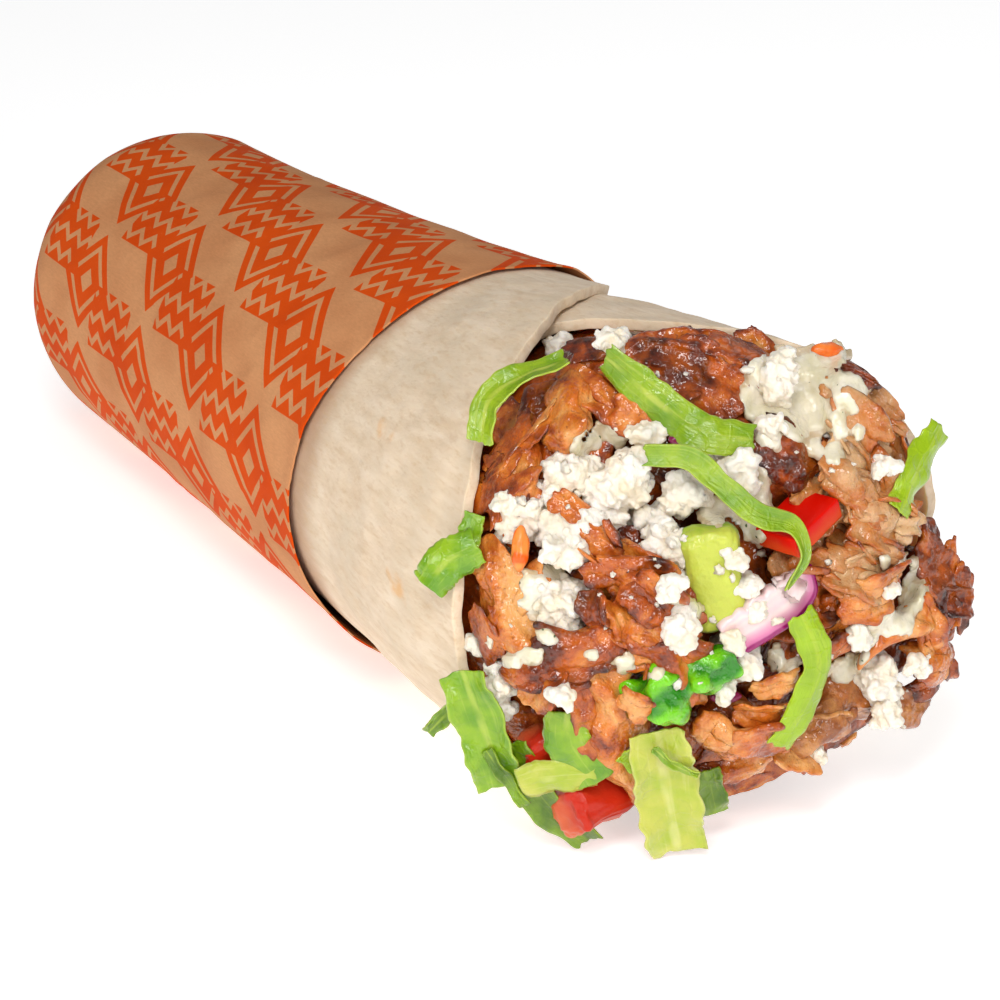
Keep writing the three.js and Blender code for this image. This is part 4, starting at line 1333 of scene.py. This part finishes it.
# Cut pieces, with the directions of their length and of their top.
CUTS = [
    dict(
        name="tomato_01", at=(6.7, 16.7), lift=6.8, along=(-0.28, 0.91, 0.32), top=(0.05, -0.32, 0.95),
        size=(11.2, 8, 3.6), bevel=0.35, rough=0.15, flesh="tomato_flesh", slot="tomato",
    ),
    dict(
        name="tomato_02", at=(-30.5, -21.4), lift=5, along=(0.1, 0.5, -0.86), top=(0.8, -0.45, 0.3),
        size=(8, 7, 7), bevel=2, rough=0.7, flesh="tomato_skin", slot="tomato",
    ),
    dict(
        name="tomato_03", at=(-21.4, -28.8), lift=5, along=(-0.2, 0.97, 0.1), top=(0.86, -0.2, 0.46),
        size=(15.4, 8.4, 8), bevel=2, rough=1.2, flesh="tomato_skin", slot="tomato",
    ),
    dict(
        name="avocado", at=(-8.3, 8.6), lift=7.6, along=(0.05, 0.16, -1), top=(0.84, -0.5, 0.1),
        size=(17.4, 8.8, 5.5), bevel=2.2, rough=0.6, flesh="avocado", slot="avocado",
    ),
]
# The lumps that make the piece of pepper: places and width.
PEPPER_LUMPS = [
    ([(-23.4, -10.4), (-18.6, -8.4), (-12, -6.6)], 10),
    ([(-15, -7), (-10.6, -5), (-6.6, -3.4)], 6.4),
    ([(-20.6, -5.6), (-15.4, -4.4)], 4.6),
    ([(-19, -12.6), (-13.6, -10.4)], 5),
]

# Crumbled cheese: place, width, height, depth and how far its top stands over the mound.
CHEESES = [
    ("cheese_01", (-12.4, 41), 7.5, 6.5, 7, 5),
    ("cheese_02", (-25.4, 24.4), 9.5, 9.5, 10, 7.4),
    ("cheese_03", (-18, 24.6), 11, 10, 11, 7.6),
    ("cheese_04", (-32.6, 18.2), 10.5, 9.5, 10, 7.2),
    ("cheese_05", (-26.6, 17.4), 12, 11, 12, 8.4),
    ("cheese_06", (-30.6, 4), 10.5, 11, 10, 7.4),
    ("cheese_07", (-10, 20.6), 8.5, 8, 10, 6.6),
    ("cheese_08", (-14, 13.4), 9.5, 10, 10, 7),
    ("cheese_09", (-1.1, 25.9), 7.4, 8.4, 8, 9.4),
    ("cheese_10", (9.9, 36.6), 7, 9.6, 8, 10.4),
    ("cheese_11", (-2.4, 5.4), 8.6, 10, 10, 8.6),
    ("cheese_12", (-37.2, -11.6), 6.6, 9.6, 8, 6.4),
    ("cheese_13", (23.4, -16), 8, 12.6, 9, 8),
    ("cheese_14", (-4.2, -7), 8, 8, 9, 6.8),
]
# Clumps without a solid of their own: place, width, height, depth, how far out they are seen.
CLUMPS = [
    ((-12.8, 29.3), 6.6, 5.4, 5, 6), ((-19.6, 40.4), 5.4, 4.4, 5, 4.5), ((-16.4, 19), 8.4, 7, 7, 7),
    ((-21, 19.6), 6.4, 5, 6, 8), ((-28.3, 14.3), 8, 6.4, 6, 8), ((-14.6, 8.3), 4.8, 4.6, 5, 7),
    ((-13.2, 2.1), 7, 8, 6, 6.5), ((-3.3, 7.7), 4.4, 4.4, 4.4, 7.5), ((-4.5, 11.9), 3, 4.4, 3.4, 7),
    ((24.6, 19.2), 4.4, 4.4, 4, 6), ((-37.1, -5.3), 4, 3.4, 3.6, 6), ((-39.1, -2.5), 3.6, 3, 3.2, 5.5),
    ((-4.2, -5.1), 6.4, 5, 5, 6.5), ((-5.6, -1.6), 4.6, 4.4, 4, 6.5), ((-30.8, -8.3), 5, 4, 5, 8.5),
    ((23.4, -20), 5.4, 6, 5, 6), ((13.3, -27.4), 4.6, 4, 4, 2), ((30.1, -14.4), 4.6, 4, 4, 5),
    ((16.2, -5.1), 4.4, 5.6, 4, 6), ((22.9, 1), 3.6, 3, 3, 6.5), ((-40.6, 9.4), 3.4, 2.6, 3, 7),
    ((5.2, 28.7), 5.4, 3.6, 3.6, 7), ((-29.3, 6.6), 6, 6, 5, 8), ((-6.4, -9.8), 5, 3.4, 4, 6),
]

# Sauce poured over what lies there: how far out it is seen, and places with the radius of the drops.
POOLS = {
    "sauce_01": (7, [
        (4.6, 32, 3), (8, 35.4, 3.4), (9, 31.4, 4), (14, 34, 4), (18.6, 34.8, 3.2), (13, 30.4, 4),
        (20.4, 31.4, 3.4), (24, 31.6, 1.8), (5, 28.2, 2.4), (10.4, 28.8, 3), (12.6, 25.2, 1.6),
        (15.6, 23.8, 2), (17.7, 27.2, 2.4), (21, 25.6, 1.8), (21.6, 36.2, 1.6),
    ]),
    "sauce_02": (6, [
        (-3.9, 27, 2.6), (-2.1, 23.8, 3.4), (0.9, 21.8, 3.4), (1, 18.4, 2.8), (-2, 27.9, 2.6),
        (-5.7, 18.5, 2.4), (-2.5, 16.5, 2.4), (0, 14.7, 1.8),
    ]),
    "sauce_03": (5, [
        (23.4, 5.2, 1.8), (27.4, 2.5, 2.8), (29.3, -2.6, 3), (27.1, -5.7, 3), (24, -5.7, 2.6),
        (19.5, -7.1, 2.4),
    ]),
}
# Drips without a solid of their own.
DRIPS = [
    (5, [(11.9, -10, 1.6), (15.2, -11.6, 2.6), (18.5, -10.3, 2)]),
    (6, [(-30.8, 0.1, 1.8), (-33.1, -3.2, 1.6), (-35.3, -4.6, 1.2)]),
    (6, [(-25.4, -2.8, 1.2), (-21, -4.4, 1.6), (-16.7, -6.3, 1.4)]),
    (6, [(-13.4, 6.6, 2), (-11.4, 4, 1.6)]),
    (5, [(-20.1, 28.4, 1.8), (-16.6, 28.9, 1.6), (-22, 26.8, 1.2)]),
    (6, [(-31.6, 7.6, 2.4), (-29.6, 9.4, 2), (-32.4, 4.6, 1.8)]),
    (5, [(2.6, -6.6, 1.8), (5.4, -8, 1.4)]),
]

# Square lights: azimuth and elevation in degrees, distance and side in metres, power in watts.
# The large ones light the heap softly, the small ones glint on its wet pieces.
LIGHTS = [
    ("key", 34, 34, 0.62, 0.3, 0.53),
    ("front", 88, 30, 0.62, 0.3, 0.28),
    ("spark", 52, 50, 0.7, 0.2, 2.05),
    ("glint", 80, 22, 0.7, 0.16, 0.8),
    ("gleam", 24, 24, 0.7, 0.16, 0.72),
    ("low", 68, 8, 0.7, 0.1, 0.36),
    ("back", 200, 50, 1.1, 0.6, 1.1),
]
SKY = 0.27  # strength of the white light from all round


# ---- what the user can change ----


def shade_property(name, description, *channels):
    return bpy.props.FloatVectorProperty(
        name=name, description=description, subtype="COLOR", size=3, min=0, max=1, default=srgb(*channels)
    )


class WrapSizes(bpy.types.PropertyGroup):
    paper: bpy.props.FloatProperty(
        name="Paper", description="Thickness of the wrapping paper", default=0.3 * MM, min=0.1 * MM,
        max=0.5 * MM, precision=5, subtype="DISTANCE", unit="LENGTH",
    )
    bread: bpy.props.FloatProperty(
        name="Bread", description="Thickness of the flatbread", default=1.8 * MM, min=1 * MM,
        max=2 * MM, precision=5, subtype="DISTANCE", unit="LENGTH",
    )
    shreds: bpy.props.IntProperty(
        name="Shreds", description="Number of small shreds of meat between the large pieces",
        default=110, min=0, max=400,
    )
    crumbs: bpy.props.IntProperty(
        name="Crumbs", description="Number of loose crumbs of cheese", default=90, min=0, max=500,
    )


class WrapColours(bpy.types.PropertyGroup):
    paper: shade_property("Paper", "Kraft paper", 214, 152, 104)
    paper_dark: shade_property("Paper, darker", "Clouding of the kraft paper", 202, 138, 92)
    ink: shade_property("Print", "Ink of the printed pattern", 214, 76, 4)
    ink_dark: shade_property("Print, darker", "Ink where it lies thicker", 202, 66, 2)
    bread: shade_property("Bread", "Soft floury bread", 232, 212, 186)
    bread_shade: shade_property("Bread, darker", "Mottling of the bread", 214, 188, 156)
    # Painted shade: the dark band on the bread at the paper's edge.
    bread_paper_shade: shade_property("Bread at the paper", "Browned band at the paper's edge", 158, 104, 62)
    toasted: shade_property("Toasted spots", "Faint toasted spots", 222, 168, 104)
    meat_pale: shade_property("Meat, pale", "Fat and pale meat", 218, 154, 86)
    meat_gold: shade_property("Meat, golden", "Golden browned meat", 200, 114, 38)
    meat: shade_property("Meat", "Browned meat", 160, 70, 18)
    meat_dark: shade_property("Meat, dark", "Dark browned meat", 100, 36, 10)
    meat_char: shade_property("Meat, crisp", "Crisp dark ridges", 50, 15, 5)
    cheese: shade_property("Cheese", "Crumbled white cheese", 250, 241, 228)
    # Also used as painted shade in the cheese's hollows, besides its random clouding.
    cheese_shade: shade_property("Cheese, darker", "Moister parts of the cheese", 244, 229, 202)
    sauce: shade_property("Sauce", "Pale herb sauce", 230, 220, 198)
    sauce_shade: shade_property("Sauce, darker", "Thinner parts of the sauce", 210, 201, 168)


def settings(context):
    return context.scene.wrap_sizes, context.scene.wrap_colours


class WRAP_OT_sleeve(bpy.types.Operator):
    """Wrap the printed paper sleeve round the back of the roll"""

    bl_idname = "wrap.sleeve"
    bl_label = "Paper Sleeve"

    def execute(self, context):
        sizes, colours = settings(context)
        outside = kraft_finish("printed_kraft", colours, True)
        inside = kraft_finish("plain_kraft", colours, False)
        piece = finished("sleeve", sleeve_mesh(), [outside, inside], ["kraft_paper"])
        add_wall(piece, sizes.paper / MM, 0.08)
        return {"FINISHED"}


class WRAP_OT_bread(bpy.types.Operator):
    """Roll the flatbread"""

    bl_idname = "wrap.bread"
    bl_label = "Flatbread"

    def execute(self, context):
        sizes, colours = settings(context)
        outside = bread_finish("soft_flatbread", colours)
        inside = bread_finish("greasy_flatbread", colours, 0.55)
        piece = finished("bread", bread_mesh(), [outside, inside], ["flatbread"])
        add_wall(piece, sizes.bread / MM, 0.6)
        return {"FINISHED"}


def brown_meat(name, colours):
    return meat_finish(
        name, (0.06, colours.meat_pale), (0.3, colours.meat_gold), (0.52, colours.meat),
        (0.74, colours.meat_dark), (0.97, colours.meat_char),
    )


class WRAP_OT_filling(bpy.types.Operator):
    """Pack the filling behind the pieces that show"""

    bl_idname = "wrap.filling"
    bl_label = "Packed Filling"

    def execute(self, context):
        sizes, colours = settings(context)
        core = new_mesh()
        core.from_mesh(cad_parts["filling_core"].data)
        core.transform(TO_ROW.inverted())
        bmesh.ops.remove_doubles(core, verts=core.verts[:], dist=0.01)
        core = roughen(fused(core, 1.5, 3), 31, [(7, 1.2), (2.6, 0.7)], tone=0.9)
        bed = new_mesh()
        rng = random.Random(4)
        for k in range(sizes.shreds):
            far, angle = 38.5 * math.sqrt(rng.random()), rng.uniform(0, 2 * math.pi)
            y, up = far * math.cos(angle), far * math.sin(angle)
            length, way = rng.uniform(8, 16), rng.uniform(0, 2 * math.pi)
            absorb(bed, flake_mesh(
                straight(y, up, way, length / 2), rng.uniform(6, 10), rng.uniform(-6, -0.5),
                seed=k * 0.37, thick=rng.uniform(1.4, 2.6), grid=(12, 8), roll=rng.uniform(-32, 32),
            ))
        bed = grained(fused(bed, 0.6, 1), Vector((0, 0.6, 0.8)), seed=17, depth=0.8, tone=0.62)
        absorb(core, pressed_back(kept_in(bed), gap=1, low_gap=6))
        skin = brown_meat("packed_filling", colours)
        finished("packed_filling", core, [skin], ["filling_core"])
        return {"FINISHED"}


class WRAP_OT_meat(bpy.types.Operator):
    """Lay the shavings of kebab meat"""

    bl_idname = "wrap.meat"
    bl_label = "Shaved Meat"

    def execute(self, context):
        _, colours = settings(context)
        skins = {
            "brown": brown_meat("browned_meat", colours),
            "pale": meat_finish(
                "pale_meat", (0.1, srgb(206, 166, 120)), (0.34, srgb(186, 136, 88)),
                (0.56, srgb(182, 116, 56)), (0.76, srgb(170, 84, 26)), (0.96, srgb(104, 42, 16)), amber=0.2,
            ),
            "onion": meat_finish(
                "browned_onion", (0.1, srgb(204, 142, 78)), (0.36, srgb(172, 106, 54)),
                (0.6, srgb(138, 78, 42)), (0.85, srgb(100, 48, 26)), amber=0.16,
            ),
        }
        rng = random.Random(9)
        for seed, row in enumerate(MEATS):
            skin = "pale" if row.get("pale") else row.get("skin", "brown")
            slot = "pale_meat" if skin == "pale" else "meat"
            finished(row["name"], meat_mesh(row, seed, rng), [skins[skin]], [row["name"]])
        layers, chips = [], new_mesh()
        for at, wide, lift, tone, roll in PALE_SHAVINGS:
            row = dict(at=at, wide=wide, lift=lift - 0.6, tone=tone)
            add_chips(chips, rng, row, lift, 7)
            for _ in range(4):
                aside, across = rng.uniform(-0.34, 0.34) * wide, rng.uniform(-0.34, 0.34) * wide
                moved = [(y + aside, up + across) for y, up in at]
                layers.append((
                    moved, wide * rng.uniform(0.4, 0.62), lift + rng.uniform(-1.8, 0.6),
                    tone + rng.uniform(-0.3, 0.3), roll + rng.uniform(-26, 26),
                ))
        for name, skin, slot, rows, grid in (
            ("thin_shavings", "brown", "meat", SHAVINGS, (36, 22)),
            ("pale_shavings", "pale", "pale_meat", layers, (26, 12)),
        ):
            thin = chips if rows is layers else new_mesh()
            for k, (at, wide, lift, tone, roll) in enumerate(rows):
                absorb(thin, flake_mesh(
                    at, wide * 1.15, lift, seed=50 + k * 0.71, thick=rng.uniform(1, 1.7), tone=tone,
                    roll=roll, arch=0.8, grid=grid,
                ))
            finished(name, kept_in(thin), [skins[skin]])
        return {"FINISHED"}


class WRAP_OT_lettuce(bpy.types.Operator):
    """Lay the shreds and torn leaves of lettuce"""

    bl_idname = "wrap.lettuce"
    bl_label = "Lettuce"

    def execute(self, context):
        kinds = {
            kind: leaf_finish(name, srgb(*green), srgb(*rib), srgb(*edge), ribbed)
            for kind, (name, green, rib, edge, ribbed) in LEAF_KINDS.items()
        }
        for seed, row in enumerate(LEAVES):
            name, kind = row["name"], row["kind"]
            finished(name, leaf_mesh(**row, seed=seed * 1.7), [kinds[kind]], [name])
        for seed, row in enumerate(SHREDS):
            bm = leaf_mesh(**row, seed=seed + 30, grid=(32, 8))
            finished(f"lettuce_shred_{seed + 1:02d}", bm, [kinds[row["kind"]]])
        return {"FINISHED"}


class WRAP_OT_vegetables(bpy.types.Operator):
    """Lay the pieces of tomato, pepper, onion, carrot and avocado"""

    bl_idname = "wrap.vegetables"
    bl_label = "Vegetables"

    def execute(self, context):
        flesh = {
            name: flesh_finish(name, srgb(*inner), srgb(*outer), **looks)
            for name, (inner, outer, looks) in FLESHES.items()
        }
        for seed, cut in enumerate(CUTS):
            top = Vector(cut["top"]).normalized()
            centre = on_mound(cut["at"], cut["lift"]) - top * cut["size"][2] / 2
            bm = block_mesh(
                centre, [cut["along"], top], cut["size"], seed + 2, cut["bevel"], cut["rough"]
            )
            finished(cut["name"], bm, [flesh[cut["flesh"]]], [cut["name"]])
        stick = lump_mesh(
            [(-33.2, 17.4), (-34.6, 10.6)], 2.9, 3, 9.2, seed=6, rough=0.06, grain=0.1
        )
        finished("carrot_01", tinted(stick), [flesh["carrot"]], ["carrot_01"])
        bm = new_mesh()
        for k, (at, wide) in enumerate(PEPPER_LUMPS):
            lift = 11 + 0.3 * (k % 2)
            absorb(bm, lump_mesh(at, wide, 7, lift, seed=5 + k, fine=4, rough=0.18, blunt=0.75))
        bm = roughen(fused(bm, 0.36, 3), 8, [(3.6, 1.0), (1.7, 0.35)])
        finished("pepper", tinted(bm), [flesh["green_pepper"]], ["pepper"])
        onion = leaf_mesh(
            [(-5.9, -3.8), (-0.6, -1.6), (5, 1), (8.4, 4.6), (7.6, 9)], 7.4, 7.4, seed=3, thick=2,
            ruffle=0.15, fold=0.5, waves=0.5, taper=0.5, shift=1,
        )
        finished("onion_01", onion, [onion_finish()], ["onion_01"])
        bits = new_mesh()
        for k, at in enumerate(([(-9.6, -10.4), (-4.6, -10.8)], [(-10, 29.2), (-7.4, 28.4)])):
            absorb(bits, lump_mesh(at, 2.2, 2, 8 - k, seed=k, fine=3, rough=0.05, grain=0.1))
        finished("onion_bits", bits, [flesh["onion_skin"]])
        tip = lump_mesh(
            [(18.6, 37.2), (24.4, 36.2)], 2.8, 2.8, 6, seed=4, rough=0.08, grain=0.1
        )
        finished("carrot_tip", tip, [flesh["carrot"]])
        return {"FINISHED"}


class WRAP_OT_cheese(bpy.types.Operator):
    """Crumble the cheese over the filling"""

    bl_idname = "wrap.cheese"
    bl_label = "Crumbled Cheese"

    def execute(self, context):
        sizes, colours = settings(context)
        finish = cheese_finish(colours)
        rng = random.Random(21)
        for name, (y, up), wide, high, deep, lift in CHEESES:
            out = mound_out(y, up)
            centre = on_mound((y, up), lift) - out * deep / 2
            finished(name, crumb_mesh(rng, centre, out, wide, high, deep), [finish], [name])
        top = filling_top()
        clumps = new_mesh()
        for (y, up), wide, high, deep, lift in CLUMPS:
            place, out = dropped(top, y, up, lift)
            if place:
                absorb(clumps, crumb_mesh(rng, place + out * deep * 0.1, out, wide, high, deep))
        for k in range(sizes.crumbs):
            _, (y, up), wide, high, _, lift = CHEESES[rng.randrange(len(CHEESES))]
            y, up = y + rng.gauss(0, wide * 0.65), up + rng.gauss(0, high * 0.65)
            if math.hypot(y, up) > BREAD_REACH:
                continue
            size = rng.choice((0.3, 0.35, 0.45, 0.6, 0.8))
            place, out = dropped(top, y, up, lift)
            if place is None:
                continue
            made = bmesh.ops.create_icosphere(clumps, subdivisions=2, radius=size)
            squash = Matrix.Diagonal((*(rng.uniform(0.6, 1.3) for _ in range(3)), 1))
            bmesh.ops.transform(clumps, matrix=squash, verts=made["verts"])
            for v in made["verts"]:
                v.co *= 1 + 1.2 * seeded(v.co, k, size * 0.7)
            bmesh.ops.translate(clumps, vec=place + out * size * 0.2, verts=made["verts"])
        finished("cheese_crumbs", clumps, [finish])
        return {"FINISHED"}


class WRAP_OT_sauce(bpy.types.Operator):
    """Pour the herb sauce"""

    bl_idname = "wrap.sauce"
    bl_label = "Sauce"

    def execute(self, context):
        _, colours = settings(context)
        finish = sauce_finish(colours)
        top = filling_top("cheese", "bread", "sleeve", "carrot_tip")
        for name, (lift, drops) in POOLS.items():
            finished(name, coat_mesh(top, drops, lift, len(name)), [finish], [name])
        drips = new_mesh()
        for k, (lift, drops) in enumerate(DRIPS):
            absorb(drips, coat_mesh(top, drops, lift, k * 3.3))
        finished("sauce_drips", drips, [finish])
        return {"FINISHED"}


class WRAP_OT_studio(bpy.types.Operator):
    """Set up the floor, the soft lights and the camera"""

    bl_idname = "wrap.studio"
    bl_label = "Studio"

    def execute(self, context):
        scene = context.scene
        camera = bpy.data.cameras.new("camera")
        camera.lens = LENS
        camera.sensor_width = SENSOR
        camera.clip_start, camera.clip_end = 0.05, 20
        seat = bpy.data.objects.new("camera", camera)
        seat.location = TO_ROW @ VIEWPOINT
        seat.rotation_euler = (-SEEN_ALONG).to_track_quat("-Z", "Y").to_euler()
        scene.collection.objects.link(seat)
        scene.camera = seat

        for name, azimuth, elevation, away, size, power in LIGHTS:
            light = bpy.data.lights.new(name, "AREA")
            light.energy, light.size = power, size
            lamp = bpy.data.objects.new(name, light)
            way = direction(azimuth, elevation)
            lamp.location = TO_ROW @ (LIT + way * away / MM)
            lamp.rotation_euler = (-way).to_track_quat("-Z", "Y").to_euler()
            scene.collection.objects.link(lamp)

        world = bpy.data.worlds.new("studio")
        world.use_nodes = True
        world.node_tree.nodes["Background"].inputs["Color"].default_value = (1, 1, 1, 1)
        world.node_tree.nodes["Background"].inputs["Strength"].default_value = SKY
        scene.world = world
        scene.view_settings.view_transform = "Standard"

        bm = bmesh.new()
        bmesh.ops.create_grid(bm, x_segments=1, y_segments=1, size=6)
        mesh = bpy.data.meshes.new("floor")
        bm.to_mesh(mesh)
        bm.free()
        pale = Finish(
            "pale_floor", Roughness=0.8, Base_Color=(0.95, 0.95, 0.95, 1),
            Emission_Color=(1, 1, 1, 1), Emission_Strength=0.5,
        )
        mesh.materials.append(pale.material)
        floor = bpy.data.objects.new("floor", mesh)
        scene.collection.objects.link(floor)
        return {"FINISHED"}


STEPS = (
    WRAP_OT_studio, WRAP_OT_sleeve, WRAP_OT_bread, WRAP_OT_filling, WRAP_OT_meat, WRAP_OT_vegetables,
    WRAP_OT_cheese, WRAP_OT_sauce, WRAP_OT_lettuce,
)


class WRAP_PT_panel(bpy.types.Panel):
    bl_label = "Wrap"
    bl_idname = "WRAP_PT_panel"
    bl_space_type = "VIEW_3D"
    bl_region_type = "UI"
    bl_category = "Wrap"

    def draw(self, context):
        for group in settings(context):
            column = self.layout.column()
            for name in group.__annotations__:
                column.prop(group, name)
        for step in STEPS:
            self.layout.operator(step.bl_idname)


CLASSES = (WrapSizes, WrapColours, *STEPS, WRAP_PT_panel)


def register():
    for cls in CLASSES:
        bpy.utils.register_class(cls)
    bpy.types.Scene.wrap_sizes = bpy.props.PointerProperty(type=WrapSizes)
    bpy.types.Scene.wrap_colours = bpy.props.PointerProperty(type=WrapColours)


def unregister():
    del bpy.types.Scene.wrap_sizes
    del bpy.types.Scene.wrap_colours
    for cls in reversed(CLASSES):
        bpy.utils.unregister_class(cls)


def main():
    register()
    bpy.ops.wrap.studio()
    bpy.ops.wrap.sleeve()
    bpy.ops.wrap.bread()
    bpy.ops.wrap.filling()
    bpy.ops.wrap.meat()
    bpy.ops.wrap.vegetables()
    bpy.ops.wrap.cheese()
    bpy.ops.wrap.sauce()
    bpy.ops.wrap.lettuce()


if __name__ == "__main__":
    main()
